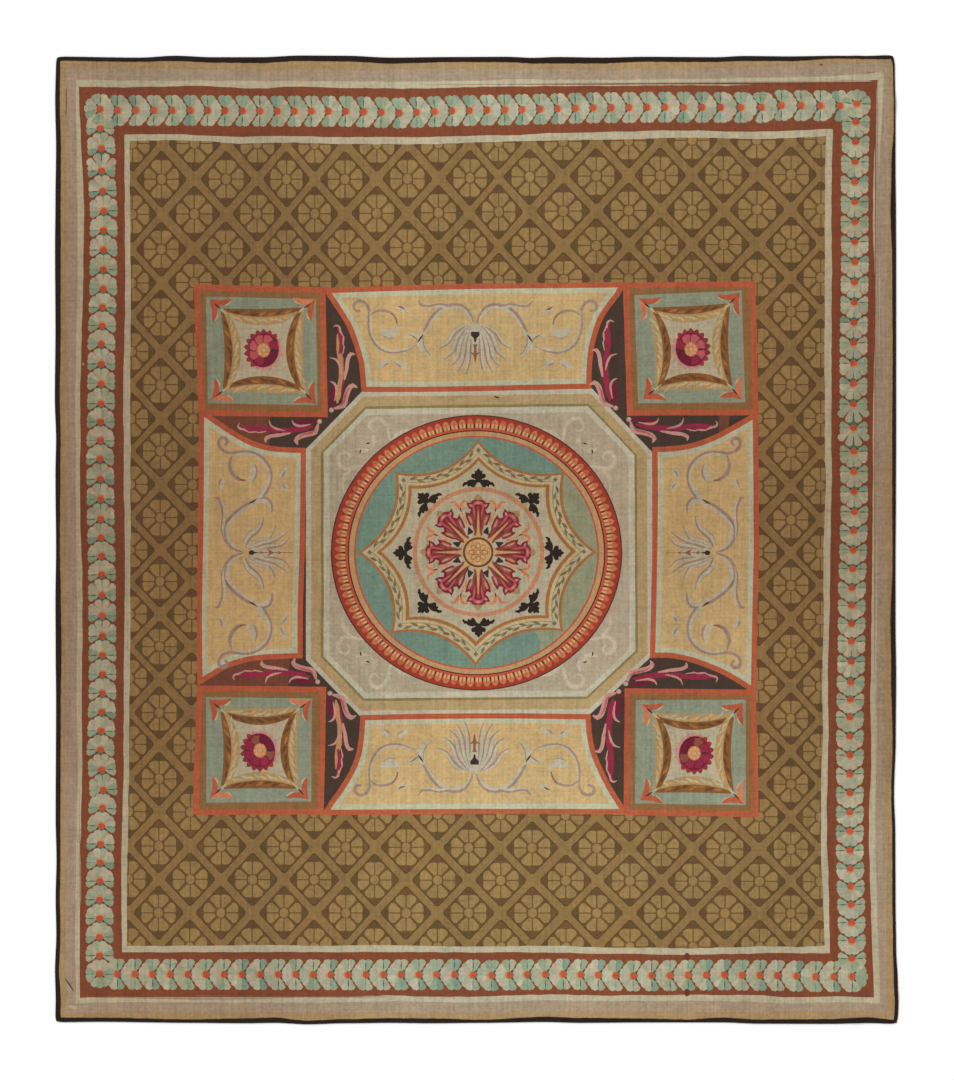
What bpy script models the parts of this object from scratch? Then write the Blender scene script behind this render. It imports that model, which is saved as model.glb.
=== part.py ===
"""A room-size tapestry-woven rug, lying flat, with its sewn-on edge tape.

The rug is one woven sheet. A folded tape grips its edge on each of the four sides, and the four tapes
meet in mitres at the corners. Everything is laid out first on a true rectangle, and then one mapping
gives it the uneven outline of a rug that has been walked on for years. The solids lie flat: the low
creases of the corners are relief of the visual model alone, so nothing here stands over the rug's face.
"""

import math
from collections import namedtuple

import bmesh
import bpy

# Sizes over the outside of the tape, in metres
WIDTH = 4.00
LENGTH = 4.60

# The weave is as thick all over, and so is the tape
CLOTH_THICKNESS = 0.0025
TAPE_THICKNESS = 0.0010
TAPE_EDGE_BEVEL = 0.0008
SEAM_GAP = 0.0003

# The cloth stands on the tape's lower lip at its edge and comes down to the floor further in
LIP_REACH = 0.034
FLAT_FROM = 0.070

# Outer corners are worn round
CORNER_REACH = 0.030
CORNER_PULL = 0.005

# The unevenness of an edge is carried this far in, and has died away by the second distance
EDGE_FOLLOWS = 0.08
EDGE_FADES = 0.40

# Spacing of the mesh: fine near the corners and coarse elsewhere
COARSE_STEP = 0.120
FINE_STEP = 0.023
FINE_REACH = 0.300

HALF_WIDTH = WIDTH / 2
HALF_LENGTH = LENGTH / 2
CLOTH_INSET = TAPE_THICKNESS + SEAM_GAP
EDGE_HEIGHT = 2 * CLOTH_INSET + CLOTH_THICKNESS
MITRE_GAP = SEAM_GAP * math.sqrt(0.5)

# Each side, walked from left to right or from bottom to top: where along it, in metres from the middle,
# how far the edge stands out of the true rectangle, and how wide the tape shows, both in millimetres
Walk = namedtuple("Walk", "along_m out_mm band_mm")

TOP_WALK = [
    Walk(-2.00, 1, 20),
    Walk(-1.60, -4, 20),
    Walk(-1.43, 5, 25),
    Walk(-1.25, -2, 26),
    Walk(-1.03, -2, 28),
    Walk(-0.83, 6, 26),
    Walk(-0.62, 5, 28),
    Walk(-0.40, -4, 28),
    Walk(-0.10, -1, 24),
    Walk(0.15, 0, 26),
    Walk(0.27, -5, 27),
    Walk(0.39, -1, 31),
    Walk(0.60, -4, 28),
    Walk(0.81, 0, 24),
    Walk(1.14, -2, 23),
    Walk(1.28, 4, 24),
    Walk(1.50, 2, 23),
    Walk(1.71, 5, 14),
    Walk(1.85, 4, 15),
    Walk(2.00, 8, 20),
]
BOTTOM_WALK = [
    Walk(-2.00, -3, 22),
    Walk(-1.79, -5, 20),
    Walk(-1.36, 0, 17),
    Walk(-1.10, 2, 23),
    Walk(-0.96, 0, 25),
    Walk(-0.80, 7, 18),
    Walk(-0.62, 2, 20),
    Walk(-0.41, 0, 22),
    Walk(-0.22, 2, 23),
    Walk(0.02, 0, 15),
    Walk(0.33, -4, 25),
    Walk(0.50, 0, 24),
    Walk(0.81, -2, 19),
    Walk(1.00, -2, 14),
    Walk(1.17, -2, 23),
    Walk(1.35, 4, 20),
    Walk(1.69, 5, 23),
    Walk(1.85, 1, 28),
    Walk(2.00, 5, 19),
]
LEFT_WALK = [
    Walk(-2.30, 2, 26),
    Walk(-2.19, 0, 24),
    Walk(-2.05, 3, 19),
    Walk(-1.88, -3, 20),
    Walk(-1.71, 0, 20),
    Walk(-1.52, -4, 18),
    Walk(-1.33, 0, 22),
    Walk(-0.76, -2, 22),
    Walk(-0.52, 0, 28),
    Walk(-0.29, 1, 26),
    Walk(-0.05, -2, 18),
    Walk(0.31, 1, 23),
    Walk(0.48, -2, 22),
    Walk(0.67, 4, 24),
    Walk(1.00, 1, 25),
    Walk(1.38, 3, 27),
    Walk(1.62, 1, 25),
    Walk(1.86, -2, 23),
    Walk(2.09, 2, 22),
    Walk(2.30, -2, 20),
]
RIGHT_WALK = [
    Walk(-2.30, 9, 19),
    Walk(-2.22, 13, 18),
    Walk(-2.10, 10, 19),
    Walk(-1.95, 2, 15),
    Walk(-1.71, -1, 15),
    Walk(-1.40, -2, 15),
    Walk(-1.21, -8, 13),
    Walk(-0.95, 0, 15),
    Walk(-0.66, 2, 24),
    Walk(-0.38, -1, 24),
    Walk(-0.10, -1, 14),
    Walk(0.19, 1, 18),
    Walk(0.52, 2, 19),
    Walk(0.90, 2, 17),
    Walk(1.33, 2, 19),
    Walk(1.57, 1, 26),
    Walk(1.76, -1, 20),
    Walk(2.00, -1, 8),
    Walk(2.24, -4, 9),
    Walk(2.30, -8, 16),
]


def ease(share):
    """0 to 1 with no corner at either end."""
    share = min(max(share, 0.0), 1.0)
    return share * share * (3 - 2 * share)


def read_walk(walk, along, column):
    """A column of a side's table at this place, eased between its rows."""
    if along <= walk[0].along_m:
        return getattr(walk[0], column)
    for low, high in zip(walk, walk[1:]):
        if along <= high.along_m:
            share = ease((along - low.along_m) / (high.along_m - low.along_m))
            return getattr(low, column) * (1 - share) + getattr(high, column) * share
    return getattr(walk[-1], column)


def edge_hold(from_edge):
    """How much of an edge's unevenness a point this far inside it takes on."""
    return 1 - ease((from_edge - EDGE_FOLLOWS) / (EDGE_FADES - EDGE_FOLLOWS))


def outline_point(x, y):
    """Where a point of the true rectangle lies on the uneven rug, before it is centred."""
    corner = ease((abs(x) - HALF_WIDTH + CORNER_REACH) / CORNER_REACH)
    corner *= ease((abs(y) - HALF_LENGTH + CORNER_REACH) / CORNER_REACH)
    out_right = read_walk(RIGHT_WALK, y, "out_mm") * edge_hold(HALF_WIDTH - x)
    out_left = read_walk(LEFT_WALK, y, "out_mm") * edge_hold(HALF_WIDTH + x)
    out_top = read_walk(TOP_WALK, x, "out_mm") * edge_hold(HALF_LENGTH - y)
    out_bottom = read_walk(BOTTOM_WALK, x, "out_mm") * edge_hold(HALF_LENGTH + y)
    return (
        x + (out_right - out_left) / 1000 - math.copysign(CORNER_PULL * corner, x),
        y + (out_top - out_bottom) / 1000 - math.copysign(CORNER_PULL * corner, y),
    )


def grid_lines(half):
    """Lines across the rug from -half to half, for the cloth and its tapes alike, so that they bend together.

    They are the cut edge, the line past the tape's lip, the line where the cloth meets the floor, and
    then fine steps near the corners and coarse ones between.
    """
    edge, lip, flat = half - CLOTH_INSET, half - LIP_REACH, half - FLAT_FROM
    inner = half - FINE_REACH
    coarse_count = math.ceil(2 * inner / COARSE_STEP)
    fine_count = math.ceil((flat - inner) / FINE_STEP)
    coarse = [-inner + 2 * inner * i / coarse_count for i in range(coarse_count + 1)]
    fine = [inner + (flat - inner) * i / fine_count for i in range(1, fine_count + 1)]
    outer = fine + [lip, edge]
    return [-place for place in reversed(outer)] + coarse + outer


# The widest reach of the uneven outline, from which the whole rug is centred on its own box
X_REACH = [outline_point(side * HALF_WIDTH, y)[0] for side in (-1, 1) for y in grid_lines(HALF_LENGTH)]
Y_REACH = [outline_point(x, side * HALF_LENGTH)[1] for side in (-1, 1) for x in grid_lines(HALF_WIDTH)]
CENTRE_X = (min(X_REACH) + max(X_REACH)) / 2
CENTRE_Y = (min(Y_REACH) + max(Y_REACH)) / 2


def place(x, y, z):
    """The mapping from the true rectangle to the rug as it lies."""
    outline_x, outline_y = outline_point(x, y)
    return (outline_x - CENTRE_X, outline_y - CENTRE_Y, z)


def finish_for(name, colour, roughness):
    material = bpy.data.materials.new(name)
    material.use_nodes = True
    shader = material.node_tree.nodes["Principled BSDF"]
    shader.inputs["Base Color"].default_value = (*colour, 1.0)
    shader.inputs["Roughness"].default_value = roughness
    shader.inputs["Metallic"].default_value = 0.0
    return material


def object_from(name, shape, material):
    """An object of this name from a bmesh, with all its faces outward."""
    bmesh.ops.recalc_face_normals(shape, faces=shape.faces)
    mesh = bpy.data.meshes.new(name)
    shape.to_mesh(mesh)
    shape.free()
    mesh.materials.append(material)
    piece = bpy.data.objects.new(name, mesh)
    bpy.context.scene.collection.objects.link(piece)
    return piece


def underside(x, y):
    """Height of the cloth's lower face over the floor."""
    from_edge = min(HALF_WIDTH - abs(x), HALF_LENGTH - abs(y))
    return CLOTH_INSET * (1 - ease((from_edge - LIP_REACH) / (FLAT_FROM - LIP_REACH)))


def woven_sheet(material):
    """The one-piece cloth: a grid above, the same grid below, and the cut edge between them."""
    columns, rows = grid_lines(HALF_WIDTH), grid_lines(HALF_LENGTH)
    shape = bmesh.new()
    lower, upper = {}, {}
    for i, x in enumerate(columns):
        for j, y in enumerate(rows):
            height = underside(x, y)
            lower[i, j] = shape.verts.new(place(x, y, height))
            upper[i, j] = shape.verts.new(place(x, y, height + CLOTH_THICKNESS))
    last_i, last_j = len(columns) - 1, len(rows) - 1
    for i in range(last_i):
        for j in range(last_j):
            corners = [(i, j), (i + 1, j), (i + 1, j + 1), (i, j + 1)]
            shape.faces.new([upper[c] for c in corners])
            shape.faces.new([lower[c] for c in reversed(corners)])
    rim = [(i, 0) for i in range(last_i)] + [(last_i, j) for j in range(last_j)]
    rim += [(i, last_j) for i in range(last_i, 0, -1)] + [(0, j) for j in range(last_j, 0, -1)]
    for here, after in zip(rim, rim[1:] + rim[:1]):
        shape.faces.new([lower[here], lower[after], upper[after], upper[here]])
    return object_from("woven_sheet", shape, material)


def tape_section(band):
    """The folded tape cut across: (distance outward from the rug's edge, height), once round."""
    top, bevel = EDGE_HEIGHT, TAPE_EDGE_BEVEL
    return [
        (-band, 0.0),
        (-bevel, 0.0),
        (0.0, bevel),
        (0.0, top - bevel),
        (-bevel, top),
        (-band, top),
        (-band, top - TAPE_THICKNESS),
        (-TAPE_THICKNESS, top - TAPE_THICKNESS),
        (-TAPE_THICKNESS, TAPE_THICKNESS),
        (-band, TAPE_THICKNESS),
    ]


def edge_tape(name, walk, upright, side, material):
    """The tape of one side, its two ends cut to a mitre.

    upright is True for the left and right tapes, and side is 1 on the right or top and -1 opposite.
    """
    half_along = HALF_LENGTH if upright else HALF_WIDTH
    half_across = HALF_WIDTH if upright else HALF_LENGTH
    shape = bmesh.new()
    stations = grid_lines(half_along)
    rings = []
    for number, along in enumerate(stations):
        band = read_walk(walk, along, "band_mm") / 1000
        end = -1 if number == 0 else 1 if number == len(stations) - 1 else 0
        ring = []
        for outward, height in tape_section(band):
            # At a mitred end each point stops on the corner's diagonal
            run = end * (half_along + outward - MITRE_GAP) if end else along
            across = side * (half_across + outward)
            x, y = (across, run) if upright else (run, across)
            ring.append(shape.verts.new(place(x, y, height)))
        rings.append(ring)
    for ring, following in zip(rings, rings[1:]):
        for k in range(len(ring)):
            after = (k + 1) % len(ring)
            shape.faces.new([ring[k], ring[after], following[after], following[k]])
    shape.faces.new(list(reversed(rings[0])))
    shape.faces.new(rings[-1])
    return object_from(name, shape, material)


for old in list(bpy.data.objects):
    bpy.data.objects.remove(old, do_unlink=True)

wool = finish_for("woven_wool", (0.30, 0.22, 0.15), 0.92)
dark_tape = finish_for("dark_edge_tape", (0.022, 0.013, 0.010), 0.88)

woven_sheet(wool)
edge_tape("edge_tape_top", TOP_WALK, False, 1, dark_tape)
edge_tape("edge_tape_bottom", BOTTOM_WALK, False, -1, dark_tape)
edge_tape("edge_tape_left", LEFT_WALK, True, -1, dark_tape)
edge_tape("edge_tape_right", RIGHT_WALK, True, 1, dark_tape)
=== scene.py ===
# %% [markdown]
# # A room-size tapestry-woven rug
#
# The real rug is one flat piece of wool, woven by hand after a full-size drawing. Every stripe, flower
# and scroll in it is a change of yarn and not a separate part. A dark tape is folded over its edge and
# sewn down on the four sides. This lesson weaves the rug the same way: shapes are laid over one
# another on a drawing, one planar mesh is cut along all their edges, and each face takes its yarn.

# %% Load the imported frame
import math
import random
from collections import namedtuple

import bpy
import bmesh
import numpy as np
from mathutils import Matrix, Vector
from mathutils.geometry import delaunay_2d_cdt, intersect_line_line_2d


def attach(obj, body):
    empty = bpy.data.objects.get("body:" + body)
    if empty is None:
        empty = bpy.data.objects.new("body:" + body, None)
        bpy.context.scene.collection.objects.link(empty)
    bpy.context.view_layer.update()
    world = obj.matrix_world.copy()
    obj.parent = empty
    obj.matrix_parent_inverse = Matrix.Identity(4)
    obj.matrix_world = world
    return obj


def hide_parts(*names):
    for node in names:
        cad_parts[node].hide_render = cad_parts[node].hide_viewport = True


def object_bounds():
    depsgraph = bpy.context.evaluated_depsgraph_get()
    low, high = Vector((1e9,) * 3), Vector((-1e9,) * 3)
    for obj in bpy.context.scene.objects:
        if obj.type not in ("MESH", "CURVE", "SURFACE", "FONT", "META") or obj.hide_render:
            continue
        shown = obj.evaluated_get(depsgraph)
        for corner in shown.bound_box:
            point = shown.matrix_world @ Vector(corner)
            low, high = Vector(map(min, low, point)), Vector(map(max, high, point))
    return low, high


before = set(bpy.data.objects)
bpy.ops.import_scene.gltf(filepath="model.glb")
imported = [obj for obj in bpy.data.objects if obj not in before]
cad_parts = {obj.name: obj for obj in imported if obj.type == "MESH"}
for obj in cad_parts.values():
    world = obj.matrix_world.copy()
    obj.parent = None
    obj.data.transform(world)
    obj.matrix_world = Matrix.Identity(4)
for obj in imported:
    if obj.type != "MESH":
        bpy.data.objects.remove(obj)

CAD_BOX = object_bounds()
print("CAD box", [[round(c, 4) for c in corner] for corner in CAD_BOX])

# %% [markdown]
# ## From the photograph to metres
#
# The rug was photographed from straight above, so one scale turns a place in the 954 x 1080 picture into
# a place on the floor. All of the design below is measured in these picture pixels, with x to the
# right and y down, because that is how the pattern was read off.

# %% One scale for the whole drawing
METRES_PER_PIXEL = 0.0047625
RUG_MIDDLE_PX = (476.6, 539.8)


def to_floor(x, y):
    """A place in the picture as metres on the floor."""
    return (x - RUG_MIDDLE_PX[0]) * METRES_PER_PIXEL, (RUG_MIDDLE_PX[1] - y) * METRES_PER_PIXEL


def to_picture(x, y):
    """A place on the floor, in metres, as pixels of the picture."""
    return x / METRES_PER_PIXEL + RUG_MIDDLE_PX[0], RUG_MIDDLE_PX[1] - y / METRES_PER_PIXEL


print("the picture covers", [round(954 * METRES_PER_PIXEL, 3), round(1080 * METRES_PER_PIXEL, 3)], "m")

# %% [markdown]
# ## The uneven outline
#
# A used rug is never a true rectangle. Its edge wanders by up to a finger's width and its corners have
# crept and creased. The frame model was laid out on a true rectangle of 4.00 by 4.60 m and then
# moved by one mapping, and the same mapping is repeated here, so that cloth, tape and frame agree.

# %% How each edge wanders, and how wide its tape shows
Walk = namedtuple("Walk", "along_m out_mm band_mm")

HALF_WIDTH, HALF_LENGTH = 2.00, 2.30
EDGE_FOLLOWS, EDGE_FADES = 0.08, 0.40
CORNER_REACH, CORNER_PULL = 0.030, 0.005

TOP_WALK = [Walk(*row) for row in (
    (-2.00, 1, 20), (-1.60, -4, 20), (-1.43, 5, 25), (-1.25, -2, 26), (-1.03, -2, 28), (-0.83, 6, 26),
    (-0.62, 5, 28), (-0.40, -4, 28), (-0.10, -1, 24), (0.15, 0, 26), (0.27, -5, 27), (0.39, -1, 31),
    (0.60, -4, 28), (0.81, 0, 24), (1.14, -2, 23), (1.28, 4, 24), (1.50, 2, 23), (1.71, 5, 14),
    (1.85, 4, 15), (2.00, 8, 20))]
BOTTOM_WALK = [Walk(*row) for row in (
    (-2.00, -3, 22), (-1.79, -5, 20), (-1.36, 0, 17), (-1.10, 2, 23), (-0.96, 0, 25), (-0.80, 7, 18),
    (-0.62, 2, 20), (-0.41, 0, 22), (-0.22, 2, 23), (0.02, 0, 15), (0.33, -4, 25), (0.50, 0, 24),
    (0.81, -2, 19), (1.00, -2, 14), (1.17, -2, 23), (1.35, 4, 20), (1.69, 5, 23), (1.85, 1, 28),
    (2.00, 5, 19))]
LEFT_WALK = [Walk(*row) for row in (
    (-2.30, 2, 26), (-2.19, 0, 24), (-2.05, 3, 19), (-1.88, -3, 20), (-1.71, 0, 20), (-1.52, -4, 18),
    (-1.33, 0, 22), (-0.76, -2, 22), (-0.52, 0, 28), (-0.29, 1, 26), (-0.05, -2, 18), (0.31, 1, 23),
    (0.48, -2, 22), (0.67, 4, 24), (1.00, 1, 25), (1.38, 3, 27), (1.62, 1, 25), (1.86, -2, 23),
    (2.09, 2, 22), (2.30, -2, 20))]
RIGHT_WALK = [Walk(*row) for row in (
    (-2.30, 9, 19), (-2.22, 13, 18), (-2.10, 10, 19), (-1.95, 2, 15), (-1.71, -1, 15), (-1.40, -2, 15),
    (-1.21, -8, 13), (-0.95, 0, 15), (-0.66, 2, 24), (-0.38, -1, 24), (-0.10, -1, 14), (0.19, 1, 18),
    (0.52, 2, 19), (0.90, 2, 17), (1.33, 2, 19), (1.57, 1, 26), (1.76, -1, 20), (2.00, -1, 8),
    (2.24, -4, 9), (2.30, -8, 16))]


def ease(share):
    """0 to 1 with no corner at either end."""
    share = min(max(share, 0.0), 1.0)
    return share * share * (3 - 2 * share)


def read_walk(walk, along, column):
    """A column of a side's table at this place, eased between its rows."""
    if along <= walk[0].along_m:
        return getattr(walk[0], column)
    for low, high in zip(walk, walk[1:]):
        if along <= high.along_m:
            share = ease((along - low.along_m) / (high.along_m - low.along_m))
            return getattr(low, column) * (1 - share) + getattr(high, column) * share
    return getattr(walk[-1], column)


def edge_hold(from_edge):
    """How much of an edge's unevenness a point this far inside it takes on."""
    return 1 - ease((from_edge - EDGE_FOLLOWS) / (EDGE_FADES - EDGE_FOLLOWS))


def wandered(x, y):
    """Where a point of the true rectangle lies on the uneven rug, before it is centred."""
    corner = ease((abs(x) - HALF_WIDTH + CORNER_REACH) / CORNER_REACH)
    corner *= ease((abs(y) - HALF_LENGTH + CORNER_REACH) / CORNER_REACH)
    right = read_walk(RIGHT_WALK, y, "out_mm") * edge_hold(HALF_WIDTH - x)
    left = read_walk(LEFT_WALK, y, "out_mm") * edge_hold(HALF_WIDTH + x)
    top = read_walk(TOP_WALK, x, "out_mm") * edge_hold(HALF_LENGTH - y)
    bottom = read_walk(BOTTOM_WALK, x, "out_mm") * edge_hold(HALF_LENGTH + y)
    return (x + (right - left) / 1000 - math.copysign(CORNER_PULL * corner, x),
            y + (top - bottom) / 1000 - math.copysign(CORNER_PULL * corner, y))


# The frame model is centred on its own box, so its box says where the true rectangle's middle went
reach_left = min(wandered(-HALF_WIDTH, HALF_LENGTH * k / 100)[0] for k in range(-100, 101))
reach_bottom = min(wandered(HALF_WIDTH * k / 100, -HALF_LENGTH)[1] for k in range(-100, 101))
SHIFT_X = reach_left - CAD_BOX[0].x
SHIFT_Y = reach_bottom - CAD_BOX[0].y
print("the true rectangle's middle is moved by", [round(-1000 * s, 1) for s in (SHIFT_X, SHIFT_Y)], "mm")

# %% [markdown]
# ## Creases
#
# The corners have soft folds that were pressed in while the rug was stored. Each is a low rounded ridge
# along one bent line. The solids of the frame model lie flat, so that nothing there stands over the
# rug's face, and the creases are made here: four main ones, up to 9 mm high, and fainter ones beside them.

# %% Creases one by one, each in its own size
Crease = namedtuple("Crease", "start bend end half_width rise_start rise_middle rise_end")

MAIN_CREASES = [
    Crease((1.70, 2.33), (1.95, 2.24), (2.01, 1.93), 0.030, 0.004, 0.009, 0.003),
    Crease((-1.97, -2.03), (-1.92, -2.20), (-1.79, -2.23), 0.026, 0.001, 0.006, 0.001),
    Crease((-1.957, 2.18), (-1.953, 2.09), (-1.957, 1.98), 0.026, 0.001, 0.0035, 0.001),
    Crease((1.78, -2.29), (1.86, -2.20), (1.99, -2.16), 0.045, 0.002, 0.005, 0.003),
]
FAINT_CREASES = [
    Crease((1.60, 2.20), (1.80, 2.15), (1.90, 2.02), 0.020, 0.0, 0.0012, 0.0),
    Crease((1.74, 2.26), (1.88, 2.20), (1.93, 2.10), 0.014, 0.0, 0.0015, 0.0),
    Crease((-1.70, 2.26), (-1.62, 2.24), (-1.52, 2.27), 0.016, 0.0, 0.0016, 0.0),
    Crease((-1.90, 1.86), (-1.94, 1.855), (-1.965, 1.87), 0.012, 0.0, 0.0012, 0.0),
    Crease((-1.93, -2.16), (-1.90, -2.19), (-1.85, -2.215), 0.010, 0.0, 0.0016, 0.0),
    Crease((1.52, -2.17), (1.60, -2.19), (1.70, -2.18), 0.014, 0.0, 0.0014, 0.0),
    Crease((1.70, -2.15), (1.78, -2.17), (1.88, -2.12), 0.014, 0.0, 0.0014, 0.0),
    Crease((-1.955, -0.10), (-1.950, -0.40), (-1.957, -0.80), 0.018, 0.0, 0.0008, 0.0),
    Crease((-1.955, -1.05), (-1.952, -1.35), (-1.958, -1.70), 0.018, 0.0, 0.0009, 0.0),
    Crease((1.935, 0.60), (1.942, 0.20), (1.936, -0.30), 0.018, 0.0, 0.0008, 0.0),
]


def bent_line(crease, steps=24):
    """The crease's line and its rise, as (x, y, rise) at even steps."""
    points = []
    for step in range(steps + 1):
        t = step / steps
        weights = ((1 - t) ** 2, 2 * t * (1 - t), t * t)
        rises = (crease.rise_start, crease.rise_middle, crease.rise_end)
        x, y = (sum(w * p[k] for w, p in zip(weights, (crease.start, crease.bend, crease.end))) for k in (0, 1))
        points.append((x, y, sum(w * r for w, r in zip(weights, rises))))
    return points


def with_lines(creases):
    """Each crease with its line and the box outside of which it lifts nothing."""
    rows = []
    for crease in creases:
        line = bent_line(crease)
        xs, ys = [p[0] for p in line], [p[1] for p in line]
        reach = crease.half_width
        rows.append((crease, line, (min(xs) - reach, max(xs) + reach, min(ys) - reach, max(ys) + reach)))
    return rows


CREASE_LINES = with_lines(MAIN_CREASES + FAINT_CREASES)


def nearest_on(line, x, y):
    """(distance, rise) of the place on the line nearest to this point."""
    best = (math.inf, 0.0)
    for (ax, ay, a_rise), (bx, by, b_rise) in zip(line, line[1:]):
        run_x, run_y = bx - ax, by - ay
        t = min(max(((x - ax) * run_x + (y - ay) * run_y) / (run_x ** 2 + run_y ** 2), 0.0), 1.0)
        best = min(best, (math.hypot(x - ax - t * run_x, y - ay - t * run_y), a_rise + t * (b_rise - a_rise)))
    return best


def rise(x, y):
    """How far the creases lift the cloth at this point of the true rectangle."""
    total = 0.0
    for crease, line, (low_x, high_x, low_y, high_y) in CREASE_LINES:
        if low_x < x < high_x and low_y < y < high_y:
            distance, height = nearest_on(line, x, y)
            if distance < crease.half_width:
                total += height * 0.5 * (1 + math.cos(math.pi * distance / crease.half_width))
    return total


# %% [markdown]
# ## Height of the cloth
#
# In the middle the weave lies on the floor. At its edge it stands on the lower lip of the folded tape, and
# comes down to the floor over the next few centimetres. A very slight swell over the whole rug keeps
# the light on it from being perfectly even, as on any large flat textile.

# %% The cloth's faces
CLOTH_THICKNESS, CLOTH_INSET = 0.0025, 0.0013
LIP_REACH, FLAT_FROM = 0.034, 0.070
EDGE_HEIGHT = 2 * CLOTH_INSET + CLOTH_THICKNESS
SWELL = 0.0006


def held_in(value, limit):
    return min(max(value, -limit), limit)


def lift_at(x, y):
    """Lift of the creases, the same all across the width of a tape."""
    return rise(held_in(x, HALF_WIDTH - LIP_REACH), held_in(y, HALF_LENGTH - LIP_REACH))


def lower_face(x, y):
    """Height of the cloth's lower face, without the creases."""
    from_edge = min(HALF_WIDTH - abs(x), HALF_LENGTH - abs(y))
    return CLOTH_INSET * (1 - ease((from_edge - LIP_REACH) / (FLAT_FROM - LIP_REACH)))


def swell(x, y):
    """The slight waviness of the whole, nothing at the tape."""
    inside = ease((min(HALF_WIDTH - abs(x), HALF_LENGTH - abs(y)) - 0.05) / 0.15)
    wave = math.sin(5.1 * x + 1.3 * math.sin(2.3 * y)) * math.sin(4.3 * y + 0.9 * math.sin(3.1 * x))
    return SWELL * inside * (1 + wave)


def laid(x, y, z):
    """From the true rectangle to the rug as it lies, in metres of the frame."""
    over_x, over_y = wandered(x, y)
    return over_x - SHIFT_X, over_y - SHIFT_Y, z + lift_at(x, y)


def unlaid(x, y):
    """The point of the true rectangle that lies at this place of the frame."""
    true_x, true_y = x + SHIFT_X, y + SHIFT_Y
    for _ in range(2):
        over_x, over_y = wandered(held_in(true_x, HALF_WIDTH), held_in(true_y, HALF_LENGTH))
        true_x += x + SHIFT_X - over_x - (true_x - held_in(true_x, HALF_WIDTH))
        true_y += y + SHIFT_Y - over_y - (true_y - held_in(true_y, HALF_LENGTH))
    return held_in(true_x, HALF_WIDTH), held_in(true_y, HALF_LENGTH)


print("middle of the cloth at", round(1000 * (lower_face(0, 0) + CLOTH_THICKNESS), 2), "mm")

# %% [markdown]
# ## The dye card
#
# Some forty dyed yarns make the whole design. They are written here as they look in daylight, in the
# usual 0 to 255 steps for red, green and blue. The shapes further down ask for a yarn by its name.

# %% Yarns by name
YARNS = {
    "tan": (166, 139, 98), "dust pink": (165, 145, 122), "cream": (183, 175, 147),
    "rust": (128, 69, 42), "rust shade": (104, 45, 33),
    "celadon": (163, 166, 140), "celadon pink": (180, 169, 146), "celadon green": (146, 160, 132),
    "pale celadon": (178, 176, 150), "teal pale": (128, 150, 128),
    "teal": (112, 145, 128), "teal line": (84, 105, 84), "daisy ink": (62, 70, 52),
    "daisy heart": (184, 84, 56), "heart rim": (190, 140, 98),
    "lattice": (139, 111, 67), "lattice light": (153, 126, 81), "petal": (149, 122, 75),
    "field": (107, 78, 41), "field edge": (95, 68, 36), "field plum": (100, 73, 43), "field olive": (94, 77, 40),
    "coral": (181, 92, 60), "frame brown": (142, 103, 61), "sky": (141, 152, 131),
    "ivory": (184, 177, 150), "frame ivory": (191, 188, 166), "panel ivory": (187, 190, 160),
    "leaf brown": (134, 90, 46), "leaf dark": (108, 68, 34), "leaf tan": (176, 150, 104),
    "leaf cream": (194, 178, 136), "rim brown": (128, 60, 48),
    "magenta": (148, 40, 68), "plum": (112, 24, 50), "rose": (186, 92, 98), "pale rose": (196, 148, 138),
    "peach": (206, 165, 112), "soft coral": (206, 128, 92), "rose brown": (142, 80, 62), "dusty rose": (170, 104, 88),
    "wine": (130, 34, 48),
    "gold": (199, 172, 121), "scroll": (172, 156, 138), "scroll shade": (158, 136, 122), "scroll light": (187, 181, 158),
    "ink": (58, 45, 38), "accent brown": (140, 95, 70),
    "spandrel": (70, 55, 44), "spandrel warm": (114, 68, 48),
    "octagon gold": (179, 157, 113), "olive": (138, 126, 80), "octagon ground": (177, 166, 143),
    "ground scroll": (193, 185, 161),
    "ring red": (160, 58, 40), "ring coral": (190, 84, 58), "egg": (208, 172, 124), "egg shade": (192, 124, 84),
    "egg coral": (188, 100, 66), "ring tan": (189, 152, 108),
    "dart": (82, 42, 30), "turquoise": (115, 145, 129), "turquoise grey": (147, 153, 124),
    "star brown": (164, 112, 62), "garland": (122, 112, 66), "palmette": (42, 30, 23),
    "heart ring": (192, 136, 102), "tan green": (162, 138, 96), "sprig": (205, 132, 84),
}


# The floor is lit to white, so the dyes are a little deeper than they look
DEPTH = 0.90


def linear(channel):
    """One 0 to 255 display step as linear light."""
    share = channel / 255
    return share / 12.92 if share <= 0.04045 else ((share + 0.055) / 1.055) ** 2.4


print(len(YARNS), "yarns")

# %% [markdown]
# ## The loom
#
# A shape is an outline in picture pixels with the name of its yarn. Shapes are laid in order, and a later
# one covers what is under it. When all are laid, a constrained Delaunay triangulation cuts one flat
# mesh along every outline at once, and tells which shapes each triangle lies in. The last laid wins.
# This gives the crisp colour joins of a tapestry with no picture file and no gaps between pieces.

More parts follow.
